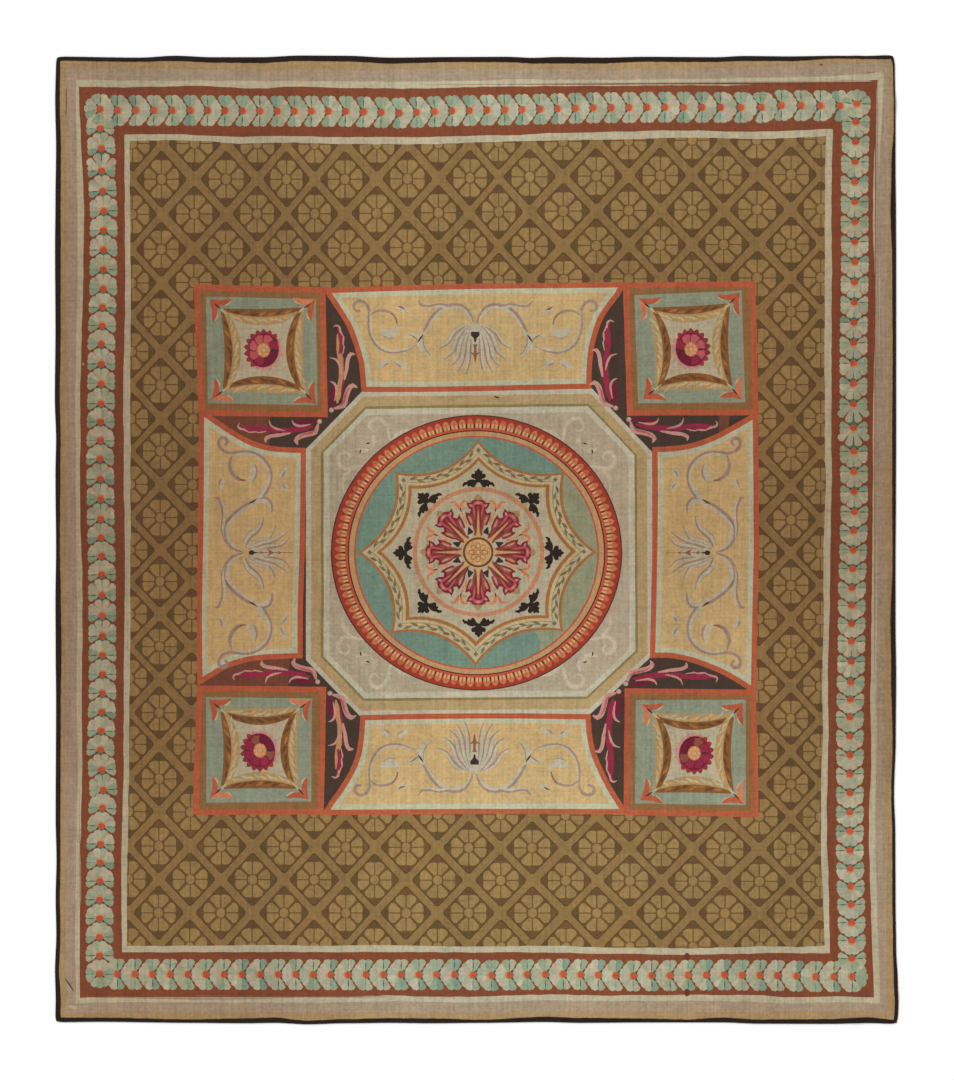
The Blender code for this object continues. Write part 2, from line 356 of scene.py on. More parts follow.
# %% A loom for flat shapes
class Loom:
    """Lays shapes over one another and turns them into triangles with a yarn each."""

    def __init__(self, seed):
        self.points, self.shapes, self.chance = [], [], random.Random(seed)

    def weave(self, outline, yarn, spread=0.03, tone=1.0):
        """Lay one closed outline. spread is how much dye lots differ from shape to shape."""
        area = sum(a[0] * b[1] - b[0] * a[1] for a, b in zip(outline, outline[1:] + outline[:1]))
        if abs(area) < 0.05:
            return
        outline = outline if area > 0 else outline[::-1]
        start = len(self.points)
        self.points.extend(outline)
        tone *= 1 + self.chance.uniform(-spread, spread)
        self.shapes.append((list(range(start, len(self.points))), yarn, tone))

    def cut(self, spare_points):
        """(places in pixels, triangles, colours, which place each outline point became)."""
        places = [Vector(p) for p in self.points + spare_points]
        rings = [shape[0] for shape in self.shapes]
        found, _, cells, origins, _, inside = delaunay_2d_cdt(places, [], rings, 1, 1e-3, True)
        dyed = {name: DEPTH * np.array([linear(c) for c in rgb]) for name, rgb in YARNS.items()}
        triangles, colours = [], []
        for cell, shapes in zip(cells, inside):
            if shapes:
                _, yarn, tone = self.shapes[max(shapes)]
                triangles.append(tuple(cell))
                colours.append(dyed[yarn] * tone)
        became = {old: new for new, olds in enumerate(origins) for old in olds}
        return found, triangles, colours, became


loom = Loom(seed=7)

# %% [markdown]
# ## Drawing tools
#
# A handful of curves is enough for all of the ornament: ellipses, smooth lines through a few points,
# ribbons with a swelling width, pointed leaves and round-ended petals. A Spot is a small frame of its
# own on the rug, turned and scaled, so that a motif is described once and repeated anywhere.

# %% Curves in pixels
def ellipse(cx, cy, rx, ry, steps=12, turn=0.0):
    """Points round an ellipse."""
    angles = [turn + 2 * math.pi * k / steps for k in range(steps)]
    return [(cx + rx * math.cos(a), cy + ry * math.sin(a)) for a in angles]


def smooth(points, steps=4):
    """A smooth open line through the points, by the Catmull-Rom rule."""
    ends = [points[0]] + list(points) + [points[-1]]
    line = []
    for p0, p1, p2, p3 in zip(ends, ends[1:], ends[2:], ends[3:]):
        for k in range(steps):
            t = k / steps
            line.append(tuple(
                0.5 * (2 * b + (c - a) * t + (2 * a - 5 * b + 4 * c - d) * t * t + (3 * b - a - 3 * c + d) * t ** 3)
                for a, b, c, d in zip(p0, p1, p2, p3)))
    return line + [tuple(points[-1])]


def ribbon(line, widths, offset=0.0):
    """An outline of given whole widths along a line. Widths are spread evenly from start to end."""
    left, right = [], []
    for k, (x, y) in enumerate(line):
        before, after = line[max(k - 1, 0)], line[min(k + 1, len(line) - 1)]
        run_x, run_y = after[0] - before[0], after[1] - before[1]
        length = math.hypot(run_x, run_y) or 1.0
        half = np.interp(k / (len(line) - 1), np.linspace(0, 1, len(widths)), widths) / 2
        across_x, across_y = -run_y / length, run_x / length
        left.append((x + across_x * (offset + half), y + across_y * (offset + half)))
        right.append((x + across_x * (offset - half), y + across_y * (offset - half)))
    return left + right[::-1]


def leaf(base, tip, width, bend=0.0, steps=5):
    """A pointed leaf from base to tip, its middle moved sideways by bend."""
    run_x, run_y = tip[0] - base[0], tip[1] - base[1]
    length = math.hypot(run_x, run_y) or 1.0
    across_x, across_y = -run_y / length, run_x / length
    line = []
    for k in range(steps + 1):
        t = k / steps
        side = bend * 4 * t * (1 - t)
        line.append((base[0] + run_x * t + across_x * side, base[1] + run_y * t + across_y * side))
    widths = [width * math.sin(math.pi * (k / steps) ** 0.8) for k in range(steps + 1)]
    return ribbon(line, widths)


class Spot:
    """A small frame on the drawing: an origin, and two vectors for its own x and y."""

    def __init__(self, x, y, turn=0.0, scale=1.0, flip=1):
        self.origin, cos, sin = (x, y), math.cos(turn) * scale, math.sin(turn) * scale
        self.across, self.down = (cos * flip, sin * flip), (-sin, cos)

    def at(self, u, v):
        return (self.origin[0] + u * self.across[0] + v * self.down[0],
                self.origin[1] + u * self.across[1] + v * self.down[1])

    def all(self, points):
        return [self.at(u, v) for u, v in points]


print("drawing tools ready")

# %% [markdown]
# ## Ground of the field
#
# The whole cloth starts as one outline in the brown of the field. Its edge is the cut edge of the cloth,
# hidden in the tape, so it is made with the same mapping as the frame model.

# %% The cut edge, clockwise from the top left
EDGE_STEP = 0.030


def edge_places(half_along, half_across, upright, side, clockwise):
    """Points of one side's cut edge, on the true rectangle."""
    count = math.ceil(2 * half_along / EDGE_STEP)
    run = [half_along * (2 * k / count - 1) for k in range(count)]
    run = run if clockwise else [-a for a in run]
    return [(side * half_across, a) if upright else (a, side * half_across) for a in run]


CUT_WIDTH, CUT_LENGTH = HALF_WIDTH - CLOTH_INSET, HALF_LENGTH - CLOTH_INSET
true_edge = (edge_places(CUT_WIDTH, CUT_LENGTH, False, 1, True)
             + edge_places(CUT_LENGTH, CUT_WIDTH, True, 1, False)
             + edge_places(CUT_WIDTH, CUT_LENGTH, False, -1, False)
             + edge_places(CUT_LENGTH, CUT_WIDTH, True, -1, True))
cut_edge = [to_picture(*laid(x, y, 0)[:2]) for x, y in true_edge]
loom.weave(cut_edge, "field", spread=0)
print(len(cut_edge), "points on the cut edge")

# %% [markdown]
# ## The lattice
#
# The field is a trellis of gold bands that cross at a slant, with a small eight-petalled rosette in each
# opening. The pitch drifts a little, as it does when a repeat is woven by eye, so the columns and rows
# are read off the picture at both ends and run straight between them.

# %% Where the columns and rows of the trellis run
COLUMN_AT_TOP = (132.7, 161.7, 194.8, 226.4, 257.5, 286.7, 314.8, 345.0, 377.0, 407.5, 438.5, 470.0,
                 498.5, 529.4, 563.0, 596.1, 628.5, 660.2, 692.0, 723.4, 756.7, 791.0, 820.9)
COLUMN_AT_BOTTOM = (128.0, 158.5, 189.8, 220.7, 252.1, 284.0, 314.2, 345.9, 374.4, 406.0, 437.4, 468.6,
                    501.0, 532.5, 566.0, 596.8, 630.0, 661.5, 693.0, 725.0, 759.5, 790.7, 819.8)
ROW_AT_LEFT = (143.5, 179.3, 214.3, 249.5, 283.0, 317.3, 351.6, 384.7, 418.8, 450.9, 484.3, 517.6, 550.0,
               581.3, 614.0, 646.3, 678.2, 712.4, 744.3, 778.6, 811.5, 845.8, 879.0, 912.7, 946.6)
ROW_AT_RIGHT = (139.5, 174.4, 209.0, 243.8, 277.5, 311.4, 348.0, 384.7, 418.5, 452.4, 486.0, 520.0, 553.0,
                585.5, 619.5, 653.2, 686.0, 718.9, 751.5, 784.4, 817.0, 849.3, 881.5, 913.1, 947.0)
LAST_COLUMN, LAST_ROW = len(COLUMN_AT_TOP) - 1, len(ROW_AT_LEFT) - 1


def crossing(column, row):
    """The place of a trellis crossing or of a rosette, also just outside the field."""
    c, r = min(max(column, 0), LAST_COLUMN), min(max(row, 0), LAST_ROW)
    down, over = r / LAST_ROW, c / LAST_COLUMN
    x = COLUMN_AT_TOP[c] * (1 - down) + COLUMN_AT_BOTTOM[c] * down + (column - c) * 31.5
    bulge = 2.2 * math.exp(-((over - 0.36) / 0.22) ** 2) * max(0.0, 1 - r / 4)
    y = ROW_AT_LEFT[r] * (1 - over) + ROW_AT_RIGHT[r] * over + bulge + (row - r) * 33.8
    return x, y


print("trellis", LAST_COLUMN + 1, "by", LAST_ROW + 1)

# %% [markdown]
# Each opening is a slanted square with blunt tips in a darker edge line, and its four tips are filled with
# other browns. The rosette is eight separate petals round a disc. The lines between them are nothing
# but the ground showing through, so they need no shapes of their own.

# %% One opening with its rosette
BLOCK_LEFT, BLOCK_RIGHT, BLOCK_TOP, BLOCK_BOTTOM = 193, 760, 281, 816
UPPER_PETAL = ((0.6, -5.7), (3.7, -5.3), (10.6, -12.6), (10.0, -15.8), (7.4, -18.0), (3.6, -18.7), (0.6, -18.0))
SIDE_PETAL = ((6.0, -0.6), (5.6, -3.9), (12.2, -10.4), (15.4, -9.8), (17.3, -6.8), (17.8, -3.2), (17.2, -0.6))


def opening(column, row):
    """One slanted square of ground with its tips and rosette."""
    x, y = crossing(column, row)
    half_x = (crossing(column + 1, row)[0] - crossing(column - 1, row)[0]) / 2
    half_y = (crossing(column, row + 1)[1] - crossing(column, row - 1)[1]) / 2

    def slanted(reach, blunt):
        tips = ((reach, -blunt), (reach, blunt), (blunt, reach), (-blunt, reach),
                (-reach, blunt), (-reach, -blunt), (-blunt, -reach), (blunt, -reach))
        return [(x + u * half_x, y + v * half_y) for u, v in tips]

    loom.weave(slanted(0.795, 0.045), "field edge")
    loom.weave(slanted(0.745, 0.035), "field")
    for number, (u, v) in enumerate(((1, 0), (0, 1), (-1, 0), (0, -1))):
        tip = [(0.73, 0.045), (0.56, 0.18), (0.56, -0.18), (0.73, -0.045)]
        yarn = loom.chance.choice(("field plum", "field plum", "field olive", "field"))
        loom.weave([(x + (a * u - b * v) * half_x, y + (a * v + b * u) * half_y) for a, b in tip], yarn, 0.06)
    size_x, size_y = half_x / 31.8, half_y / 34.4
    for petal in (UPPER_PETAL, SIDE_PETAL):
        for flip_x in (1, -1):
            for flip_y in (1, -1):
                loom.weave([(x + a * flip_x * size_x, y + b * flip_y * size_y) for a, b in petal],
                           "petal", 0.045)
    loom.weave(ellipse(x, y, 4.7 * size_x, 5.2 * size_y, 8, 0.39), "petal", 0.05)


def hidden_by_block(column, row):
    """True where the centre block covers the whole opening."""
    x, y = crossing(column, row)
    return BLOCK_LEFT + 30 < x < BLOCK_RIGHT - 30 and BLOCK_TOP + 32 < y < BLOCK_BOTTOM - 32


field_box = [(112, 122), (842, 122), (842, 964), (112, 964)]
loom.weave(field_box, "lattice", spread=0)
openings = [(c, r) for r in range(LAST_ROW + 1) for c in range(LAST_COLUMN + 1)
            if (c + r) % 2 == 0 and not hidden_by_block(c, r)]
for column, row in openings:
    opening(column, row)
print(len(openings), "openings with rosettes,", len(loom.points), "points so far")

# %% [markdown]
# ## The plan of the centre
#
# The middle is one large panel set over the trellis: a square in each corner, a panel with hollow ends on
# each side, and an eight-sided frame round the medallion. All of them are bordered the same way, so
# one tool that moves an outline inward by a stripe's width makes every frame in the rug.

# %% Moving an outline inward
def inset(loop, distance, shares=None):
    """A closed outline moved inward, with mitred corners. shares scales the distance of each edge."""
    count = len(loop)
    area = sum(a[0] * b[1] - b[0] * a[1] for a, b in zip(loop, loop[1:] + loop[:1]))
    side, edges = math.copysign(1.0, area), []
    for k in range(count):
        (ax, ay), (bx, by) = loop[k], loop[(k + 1) % count]
        length = math.hypot(bx - ax, by - ay) or 1.0
        share = shares[k] if shares else 1.0
        edges.append((-(by - ay) / length * side, (bx - ax) / length * side, distance * share))
    moved = []
    for k, (x, y) in enumerate(loop):
        (nx, ny, before), (mx, my, after) = edges[k - 1], edges[k]
        cross = nx * my - ny * mx
        if abs(cross) < 0.05:
            moved.append((x + (nx * before + mx * after) / 2, y + (ny * before + my * after) / 2))
        else:
            moved.append((x + (before * my - after * ny) / cross, y + (after * nx - before * mx) / cross))
    return moved


def untangled(loop):
    """The same outline without the small loops that a moved corner can fold into."""
    points, turns = list(loop), 0
    while turns < len(points):
        for ahead in (2, 3, 4):
            met = intersect_line_line_2d(points[0], points[1], points[ahead], points[ahead + 1])
            if met:
                points[1:ahead + 1] = [tuple(met)]
                break
        points, turns = points[1:] + points[:1], turns + 1
    return points


BLOCK_EDGE = [(196.5, 287.5), (325, 290), (330, 290), (474, 286.5), (620, 285), (752.5, 284), (755.5, 415),
              (755.5, 553), (753, 689), (755.5, 814), (624, 812.5), (474, 811.5), (325, 812.5), (195.5, 812),
              (200, 684), (201, 553), (201.5, 416)]
loom.weave(BLOCK_EDGE, "spandrel", 0)
WARM_FIELDS = ((204, 412, 271, 450), (202, 655, 290, 690), (719, 413, 730, 434))
for low_x, low_y, high_x, high_y in WARM_FIELDS:
    loom.weave([(low_x, low_y), (high_x, low_y), (high_x - 2, high_y), (low_x, high_y)], "spandrel warm", 0.04)
print("base of the middle block")

# %% The eight-sided frame
OCTAGON = [(362, 391.5), (592, 388.5), (652, 452), (653, 655), (590, 714), (360, 716), (306, 660), (306, 449)]
STRAIGHT_THEN_SLANTED = [1.0, 0.86, 1.0, 0.86, 1.0, 0.86, 1.0, 0.86]
FRAME_STRIPES = ((0.0, "frame ivory"), (5.2, "octagon gold"), (15.0, "olive"), (17.6, "frame ivory"),
                 (23.6, "octagon ground"))


def stepped(loop, run=14.0, wobble=0.25):
    """The same outline in short runs with a slight wobble."""
    points = []
    for (ax, ay), (bx, by) in zip(loop, loop[1:] + loop[:1]):
        count = max(1, round(math.hypot(bx - ax, by - ay) / run))
        points.append((ax, ay))
        for k in range(1, count):
            points.append((ax + (bx - ax) * k / count + loom.chance.uniform(-wobble, wobble),
                           ay + (by - ay) * k / count + loom.chance.uniform(-wobble, wobble)))
    return points


for distance, yarn in FRAME_STRIPES:
    loom.weave(stepped(inset(OCTAGON, distance, STRAIGHT_THEN_SLANTED), 24), yarn, 0.01)
print("eight-sided frame,", len(FRAME_STRIPES), "stripes")

# %% [markdown]
# Each of the four panels has two long sides and two hollow ends. Its outline is the middle of its coral
# line, given by a few points per side, and the ends are drawn smooth.

# %% Four panels with hollow ends
TOP_PANEL = ([(327, 290.6), (400, 288.3), (475, 286.4), (560, 285.6), (622, 284.9)],
             smooth([(617.6, 293.9), (605.6, 309.6), (598.0, 323.5), (591.9, 344.7), (589.3, 364.0), (588.7, 386.2)], 3),
             [(530, 387.4), (474.3, 388.6), (420, 389.4), (364, 389.4)],
             smooth([(361.8, 363.2), (356.0, 342.9), (348.9, 324.9), (339.5, 309.6), (330.3, 295.7)], 3))
BOTTOM_PANEL = ([(362.9, 717.7), (410, 716.6), (474.3, 715.9), (530, 716.0), (588, 716.8)],
                smooth([(588.9, 732.5), (592.6, 751.0), (600.0, 769.5), (609.3, 788.0), (618.5, 802.8)], 3),
                [(624, 811.6), (550, 811.2), (474.3, 811.3), (400, 811.8), (326, 812.3)],
                smooth([(331.8, 802.8), (341.1, 789.9), (351.3, 773.2), (358.7, 754.7), (361.8, 736.2)], 3))
LEFT_PANEL = (smooth([(201.6, 412.0), (227.0, 429.3), (243.0, 439.0), (258.3, 445.6), (276.5, 449.3), (303.4, 450.6)], 3),
              [(303.0, 500), (302.0, 553.1), (300.2, 607.4)],
              smooth([(300.0, 655.6), (280.9, 656.2), (257.0, 657.6), (239.7, 661.2), (223.5, 667.3), (200.1, 681.6)], 3),
              [(199.4, 617), (200.5, 553), (201.4, 480)])
RIGHT_PANEL = (smooth([(655.0, 449.7), (670.8, 449.0), (686.1, 447.0), (701.4, 443.0), (716.7, 436.7), (732.0, 428.6),
                       (755.0, 415.5)], 3),
               [(756.0, 481.6), (756.2, 553), (754.8, 617)],
               smooth([(753.4, 690.0), (731.4, 676.3), (716.1, 668.7), (698.9, 662.0), (683.6, 657.6), (668.3, 655.2),
                       (652.6, 655.3)], 3),
               [(653.4, 617), (654.8, 553), (655.2, 500)])
for sides_of_panel in (TOP_PANEL, BOTTOM_PANEL, LEFT_PANEL, RIGHT_PANEL):
    middle_of_line = [point for run in sides_of_panel for point in run]
    loom.weave(untangled(inset(middle_of_line, -2.7)), "coral", 0.01)
    loom.weave(untangled(inset(middle_of_line, 2.6)), "panel ivory", 0.01)
    loom.weave(untangled(inset(middle_of_line, 7.6)), "gold", 0.01)
print("four panels")

# %% [markdown]
# ## The scrolls of the panels
#
# A panel holds a palmette with a long S-shaped stem to either side. The stems are ribbons that swell and
# taper, in a pale lilac with a darker line along one edge, which is how the weavers made them look
# round. The table is one half of the pattern: across is away from the palmette, up is the way it points.

# %% One half of a panel's scroll
Stroke = namedtuple("Stroke", "yarn widths line")

LEVEL_SCROLL = [
    Stroke("scroll shade", (1.6, 4.6, 4.2, 3.2, 1.2), [(2, -2), (6, -11.5), (15, -18.5), (28, -18.2), (36, -14.5), (45, -5),
                                                     (51.5, 7), (57, 16)]),
    Stroke("scroll light", (1.0, 2.6, 2.4, 1.6, 0.6), [(3.6, -3), (7.4, -10.5), (15.5, -16.6), (27, -16.4), (34.5, -12.8),
                                                    (43, -3.6), (49.6, 7.6), (55.5, 15)]),
    Stroke("scroll shade", (1.2, 3.2, 3.6, 3.2, 3.0, 3.4, 2.6), [(55, 14), (61, 21), (71, 26.2), (84, 27.6), (95, 23.8),
                                                              (102.5, 15), (106, 4), (106, -7), (106, -14), (110, -21.5),
                                                              (117, -23.5), (121.5, -19), (119.5, -13.8), (114.6, -13.6)]),
    Stroke("scroll light", (0.5, 1.5, 1.8, 1.6, 1.3, 1.3, 0.5), [(58, 18.2), (64, 22.8), (72, 25.2), (84, 26.4), (94, 22.8),
                                                              (101.2, 14.4), (104.6, 4), (104.8, -7), (105, -14)]),
    Stroke("scroll shade", (1.0, 4.0, 3.4, 0.4), [(24, -18), (34, -19.5), (45, -17.5), (53, -18.5), (57.5, -24)]),
    Stroke("scroll light", (0.6, 2.2, 1.4, 0.3), [(27, -17.2), (36, -18), (46, -16.4), (53, -17.4)]),
    Stroke("scroll light", (1.0, 5.0, 6.0, 3.2, 0.4), [(50, 8), (54.5, 12), (54.0, 21), (50, 28), (44.5, 32)]),
    Stroke("scroll shade", (0.6, 1.2, 1.0, 0.4), [(52, 12), (51.6, 20), (48.5, 27), (44.5, 31)]),
    Stroke("scroll light", (0.5, 3.6, 3.0, 0.3), [(55, 13), (61, 10.4), (67, 12.6), (71.5, 9.6)]),
    Stroke("accent brown", (0.6, 1.1, 0.4), [(57, 16.2), (61.5, 12.4), (66, 10.2)]),
    Stroke("scroll shade", (1.2, 2.6, 2.4, 1.0), [(105, -9), (99, -13.2), (90, -13.4), (82.5, -10.2), (78.4, -3.5), (78, 0.5)]),
    Stroke("accent brown", (0.4, 1.1, 0.9), [(84, -11.6), (79.6, -6.4), (78.2, 0)]),
    Stroke("scroll light", (0.8, 5.6, 7.2, 5.0, 0.5), [(76, 2.8), (80.5, 8.2), (87, 9.4), (92.6, 6.6), (94, 2.4)]),
    Stroke("scroll shade", (0.4, 1.0, 0.4), [(80, 13), (87, 14.2), (93.6, 10)]),
    Stroke("ink", (0.5, 1.9, 0.5), [(52.0, 10.2), (54.6, 13.8), (57.6, 18)]),
]
LEVEL_LEAVES = [
    Stroke("scroll light", (5.4,), [(79.5, 35.0), (66.0, 45.5)]), Stroke("scroll light", (5.8,), [(84, 35.5), (99.5, 44.0)]),
    Stroke("scroll shade", (1.5,), [(79.5, 38.6), (72.0, 43.0)]), Stroke("scroll shade", (1.6,), [(86, 38.6), (92.5, 43.4)]),
    Stroke("scroll light", (5.4,), [(66, -12.6), (80, -17.4)]), Stroke("accent brown", (1.8,), [(70, -14.6), (78, -18.0)]),
]


PALE_FULL = 1.3


def scroll(spot, strokes, leaves):
    """Draws strokes as swelling ribbons and leaves as pointed leaves."""
    for stroke in strokes:
        line = spot.all(smooth(stroke.line, 2))
        full = PALE_FULL if stroke.yarn == "scroll light" else 1.0
        loom.weave(ribbon(line, [width * full for width in stroke.widths]), stroke.yarn, 0.03)
    for piece in leaves:
        start, stop = spot.all(piece.line)
        loom.weave(leaf(start, stop, piece.widths[0] * 1.1, 0.8, 4), piece.yarn, 0.03)


UPRIGHT_SCROLL = [
    Stroke("scroll shade", (1.0, 4.6, 5.4, 4.2, 3.4), [(0.5, -8), (4, -18), (13, -25), (25, -26.2), (34, -21), (42, -12.5),
                                                    (48, -4), (51.5, 6)]),
    Stroke("scroll light", (0.6, 2.6, 3.0, 2.2, 1.6), [(2, -8.6), (6, -17), (14, -22.6), (25, -23.6), (32.6, -19), (40, -11),
                                                    (46, -3), (50, 6)]),
    Stroke("scroll shade", (2.6, 3.6, 4.0, 3.4, 3.2, 3.8, 2.6), [(50, 3), (54, 10), (61, 15.5), (72, 19.6), (84, 18.6), (93.5, 12.4),
                                                              (99.4, 2.6), (100.6, -8), (99.4, -18), (101.6, -27.4), (107.6, -32.2),
                                                              (113.6, -31.0), (114.6, -26.0), (110.6, -23.4), (107.4, -26.2)]),
    Stroke("scroll light", (1.2, 1.8, 2.2, 1.6, 1.5, 1.6, 0.8), [(55, 9), (62, 13.8), (72, 18.0), (83.4, 17.0), (92.2, 11.0),
                                                              (97.8, 2.0), (99.0, -8), (97.8, -18)]),
    Stroke("scroll shade", (0.6, 3.0, 4.4, 3.4, 0.5), [(10, -25), (22, -29.0), (36, -27.4), (47, -28.6), (54.6, -33), (54.6, -37)]),
    Stroke("scroll light", (0.4, 1.6, 2.4, 1.6, 0.4), [(14, -26.6), (24, -28.0), (36, -26.2), (47, -27.2), (53.4, -31)]),
    Stroke("scroll shade", (0.6, 5.0, 6.0, 3.6, 0.6), [(49, 2), (53, 9), (52.4, 16), (47, 20.4), (39.5, 21.0)]),
    Stroke("scroll light", (0.4, 2.8, 3.6, 2.0, 0.4), [(49.6, 3), (52, 9), (50.8, 15), (46, 18.8), (41, 19.8)]),
    Stroke("scroll light", (0.6, 3.6, 2.4, 0.4), [(52, 4), (57, 9.6), (63, 10.8), (69, 8.6)]),
    Stroke("scroll shade", (1.2, 3.6, 4.0, 3.4, 1.4), [(97, -19), (88, -21.4), (79, -18.6), (73, -11.4), (72.6, -5.4)]),
    Stroke("accent brown", (0.5, 1.8, 0.8), [(76, -14.2), (72.6, -9.2), (72.4, -5.0)]),
    Stroke("scroll light", (0.8, 5.0, 5.6, 3.8, 0.5), [(90.6, 0.4), (84, 3.0), (78, 2.0), (73, -1.4), (70.4, -4.4)]),
    Stroke("scroll shade", (0.5, 2.0, 2.2, 0.4), [(89, 3.8), (82, 6.0), (75.4, 4.6), (71, 1.6)]),
    Stroke("ink", (0.4, 1.7, 0.4), [(49, -2.2), (51, 1.6), (54, 6.4)]),
    Stroke("accent brown", (0.4, 1.4, 0.3), [(27, -25.8), (31, -23.4), (36, -19.2)]),
]
UPRIGHT_LEAVES = [
    Stroke("scroll light", (5.4,), [(73.5, 28.5), (86.5, 36.5)]), Stroke("scroll shade", (1.7,), [(74.8, 30.0), (83, 34.5)]),
    Stroke("scroll light", (5.2,), [(70.5, 29.0), (61, 38.0)]), Stroke("scroll shade", (1.6,), [(69.5, 31.4), (63.5, 36.0)]),
    Stroke("scroll light", (5.0,), [(76, -27), (63, -29.6)]), Stroke("scroll shade", (2.0,), [(75, -29.2), (65.5, -31.6)]),
]
TOP_BASE, BOTTOM_BASE, LEFT_BASE, RIGHT_BASE = (475.2, 324.4), (474.5, 772.0), (251.0, 552.6), (708.0, 552.8)
for base, turn, strokes, leaves, size in (
        (TOP_BASE, 0.0, LEVEL_SCROLL, LEVEL_LEAVES, 1.0), (BOTTOM_BASE, math.pi, LEVEL_SCROLL, LEVEL_LEAVES, 0.985),
        (LEFT_BASE, -math.pi / 2, UPRIGHT_SCROLL, UPRIGHT_LEAVES, 1.0),
        (RIGHT_BASE, math.pi / 2, UPRIGHT_SCROLL, UPRIGHT_LEAVES, 1.0)):
    for flip in (1, -1):
        scroll(Spot(*base, turn, size, flip), strokes, leaves)
print("scrolls of four panels,", len(loom.points), "points so far")

# %% [markdown]
# The palmette is a fan of long leaves that bend outward, each a pale ribbon with a lilac edge. In its
# heart is a dark bud with a small brown sprig above it.

# %% Palmettes
Frond = namedtuple("Frond", "out_start up_start out_mid up_mid out_end up_end out_tip up_tip width")

LEVEL_FRONDS = [Frond(*row) for row in (
    (8, 1, 20, 7, 27, 18, 36, 24, 4.6), (6, 1, 17, 12, 22, 26, 31, 35, 5.6), (5, 2, 14, 17, 18, 33, 25, 42, 5.8),
    (4, 2, 10, 18, 13, 36, 18, 48, 5.6), (3, 3, 6, 20, 7, 38, 9.5, 50, 5.4))]
UPRIGHT_FRONDS = [Frond(*row) for row in (
    (5, -6, 15, -3, 25, 8, 37, 13, 6.4), (5, -4, 11, 6, 14, 17, 27, 25, 5.2), (4, -3, 9, 10, 13, 24, 21, 37, 5.2),
    (2.4, 2, 6.0, 16, 8, 30, 14, 38, 4.8))]


def palmette(spot, fronds, arrow):
    for flip in (1, -1):
        for row in fronds:
            line = smooth([(row.out_start, row.up_start), (row.out_mid, row.up_mid), (row.out_end, row.up_end),
                           (row.out_tip, row.up_tip)], 3)
            line = spot.all([(flip * u, v) for u, v in line])
            loom.weave(ribbon(line, (1.5, row.width, row.width * 1.1, row.width * 0.7, 0.6)), "scroll shade", 0.04)
            loom.weave(ribbon(line, (0.7, row.width * 0.5, row.width * 0.6, row.width * 0.45, 0.4), -flip * 0.7),
                       "scroll light", 0.03)
    loom.weave(spot.all([(-5.2, 0.5), (0, -1), (5.2, 0.5), (4.2, 12), (3.4, 26), (0, 33), (-3.4, 26), (-4.2, 12)]),
               "scroll light", 0.02)
    for yarn, shape in arrow:
        loom.weave(spot.all(shape), yarn, 0.04)


LEVEL_ARROW = [
    ("ink", [(-4.2, 7.4), (4.2, 7.4), (4.4, 11), (1.4, 14), (0.8, 17.6), (-0.8, 17.6), (-1.4, 14), (-4.4, 11)]),
    ("accent brown", [(-2.4, 20), (2.4, 20), (1.3, 23), (1.4, 28.5), (5.6, 28), (1.8, 31), (0.4, 38), (-0.4, 38), (-1.8, 31),
                      (-5.6, 28), (-1.4, 28.5), (-1.3, 23)])]
UPRIGHT_ARROW = [
    ("ink", ellipse(0, 0.6, 2.6, 3.0, 8)), ("ink", [(-0.9, 3), (0.9, 3), (0.4, 7), (-0.4, 7)]),
    ("accent brown", [(-0.4, 6), (0.4, 6), (0.3, 42), (-0.3, 42)]),
    ("accent brown", [(-2.2, 8.4), (0, 10), (2.2, 8.4), (0.3, 12.6), (-0.3, 12.6)]),
    ("accent brown", [(-4.0, 16), (0, 18.4), (4.0, 16), (0.5, 22.6), (-0.5, 22.6)]),
    ("accent brown", [(-2.0, 26.4), (0, 28), (2.0, 26.4), (0.3, 30.6), (-0.3, 30.6)])]
palmette(Spot(*TOP_BASE), LEVEL_FRONDS, LEVEL_ARROW)
palmette(Spot(*BOTTOM_BASE, math.pi), LEVEL_FRONDS, LEVEL_ARROW)
palmette(Spot(*LEFT_BASE, -math.pi / 2), UPRIGHT_FRONDS, UPRIGHT_ARROW)
palmette(Spot(*RIGHT_BASE, math.pi / 2), UPRIGHT_FRONDS, UPRIGHT_ARROW)
print("palmettes,", len(loom.points), "points so far")

# %% [markdown]
# ## The plumes in the dark corners
#
# Between a square and the eight-sided frame lies a dark brown field with two plumes that spring from one
# corner. A plume is three leaf joints in a row, each with one hook to the open side and one back.
# The magenta body is laid first, then the pink that catches the light, then the small dark eye.

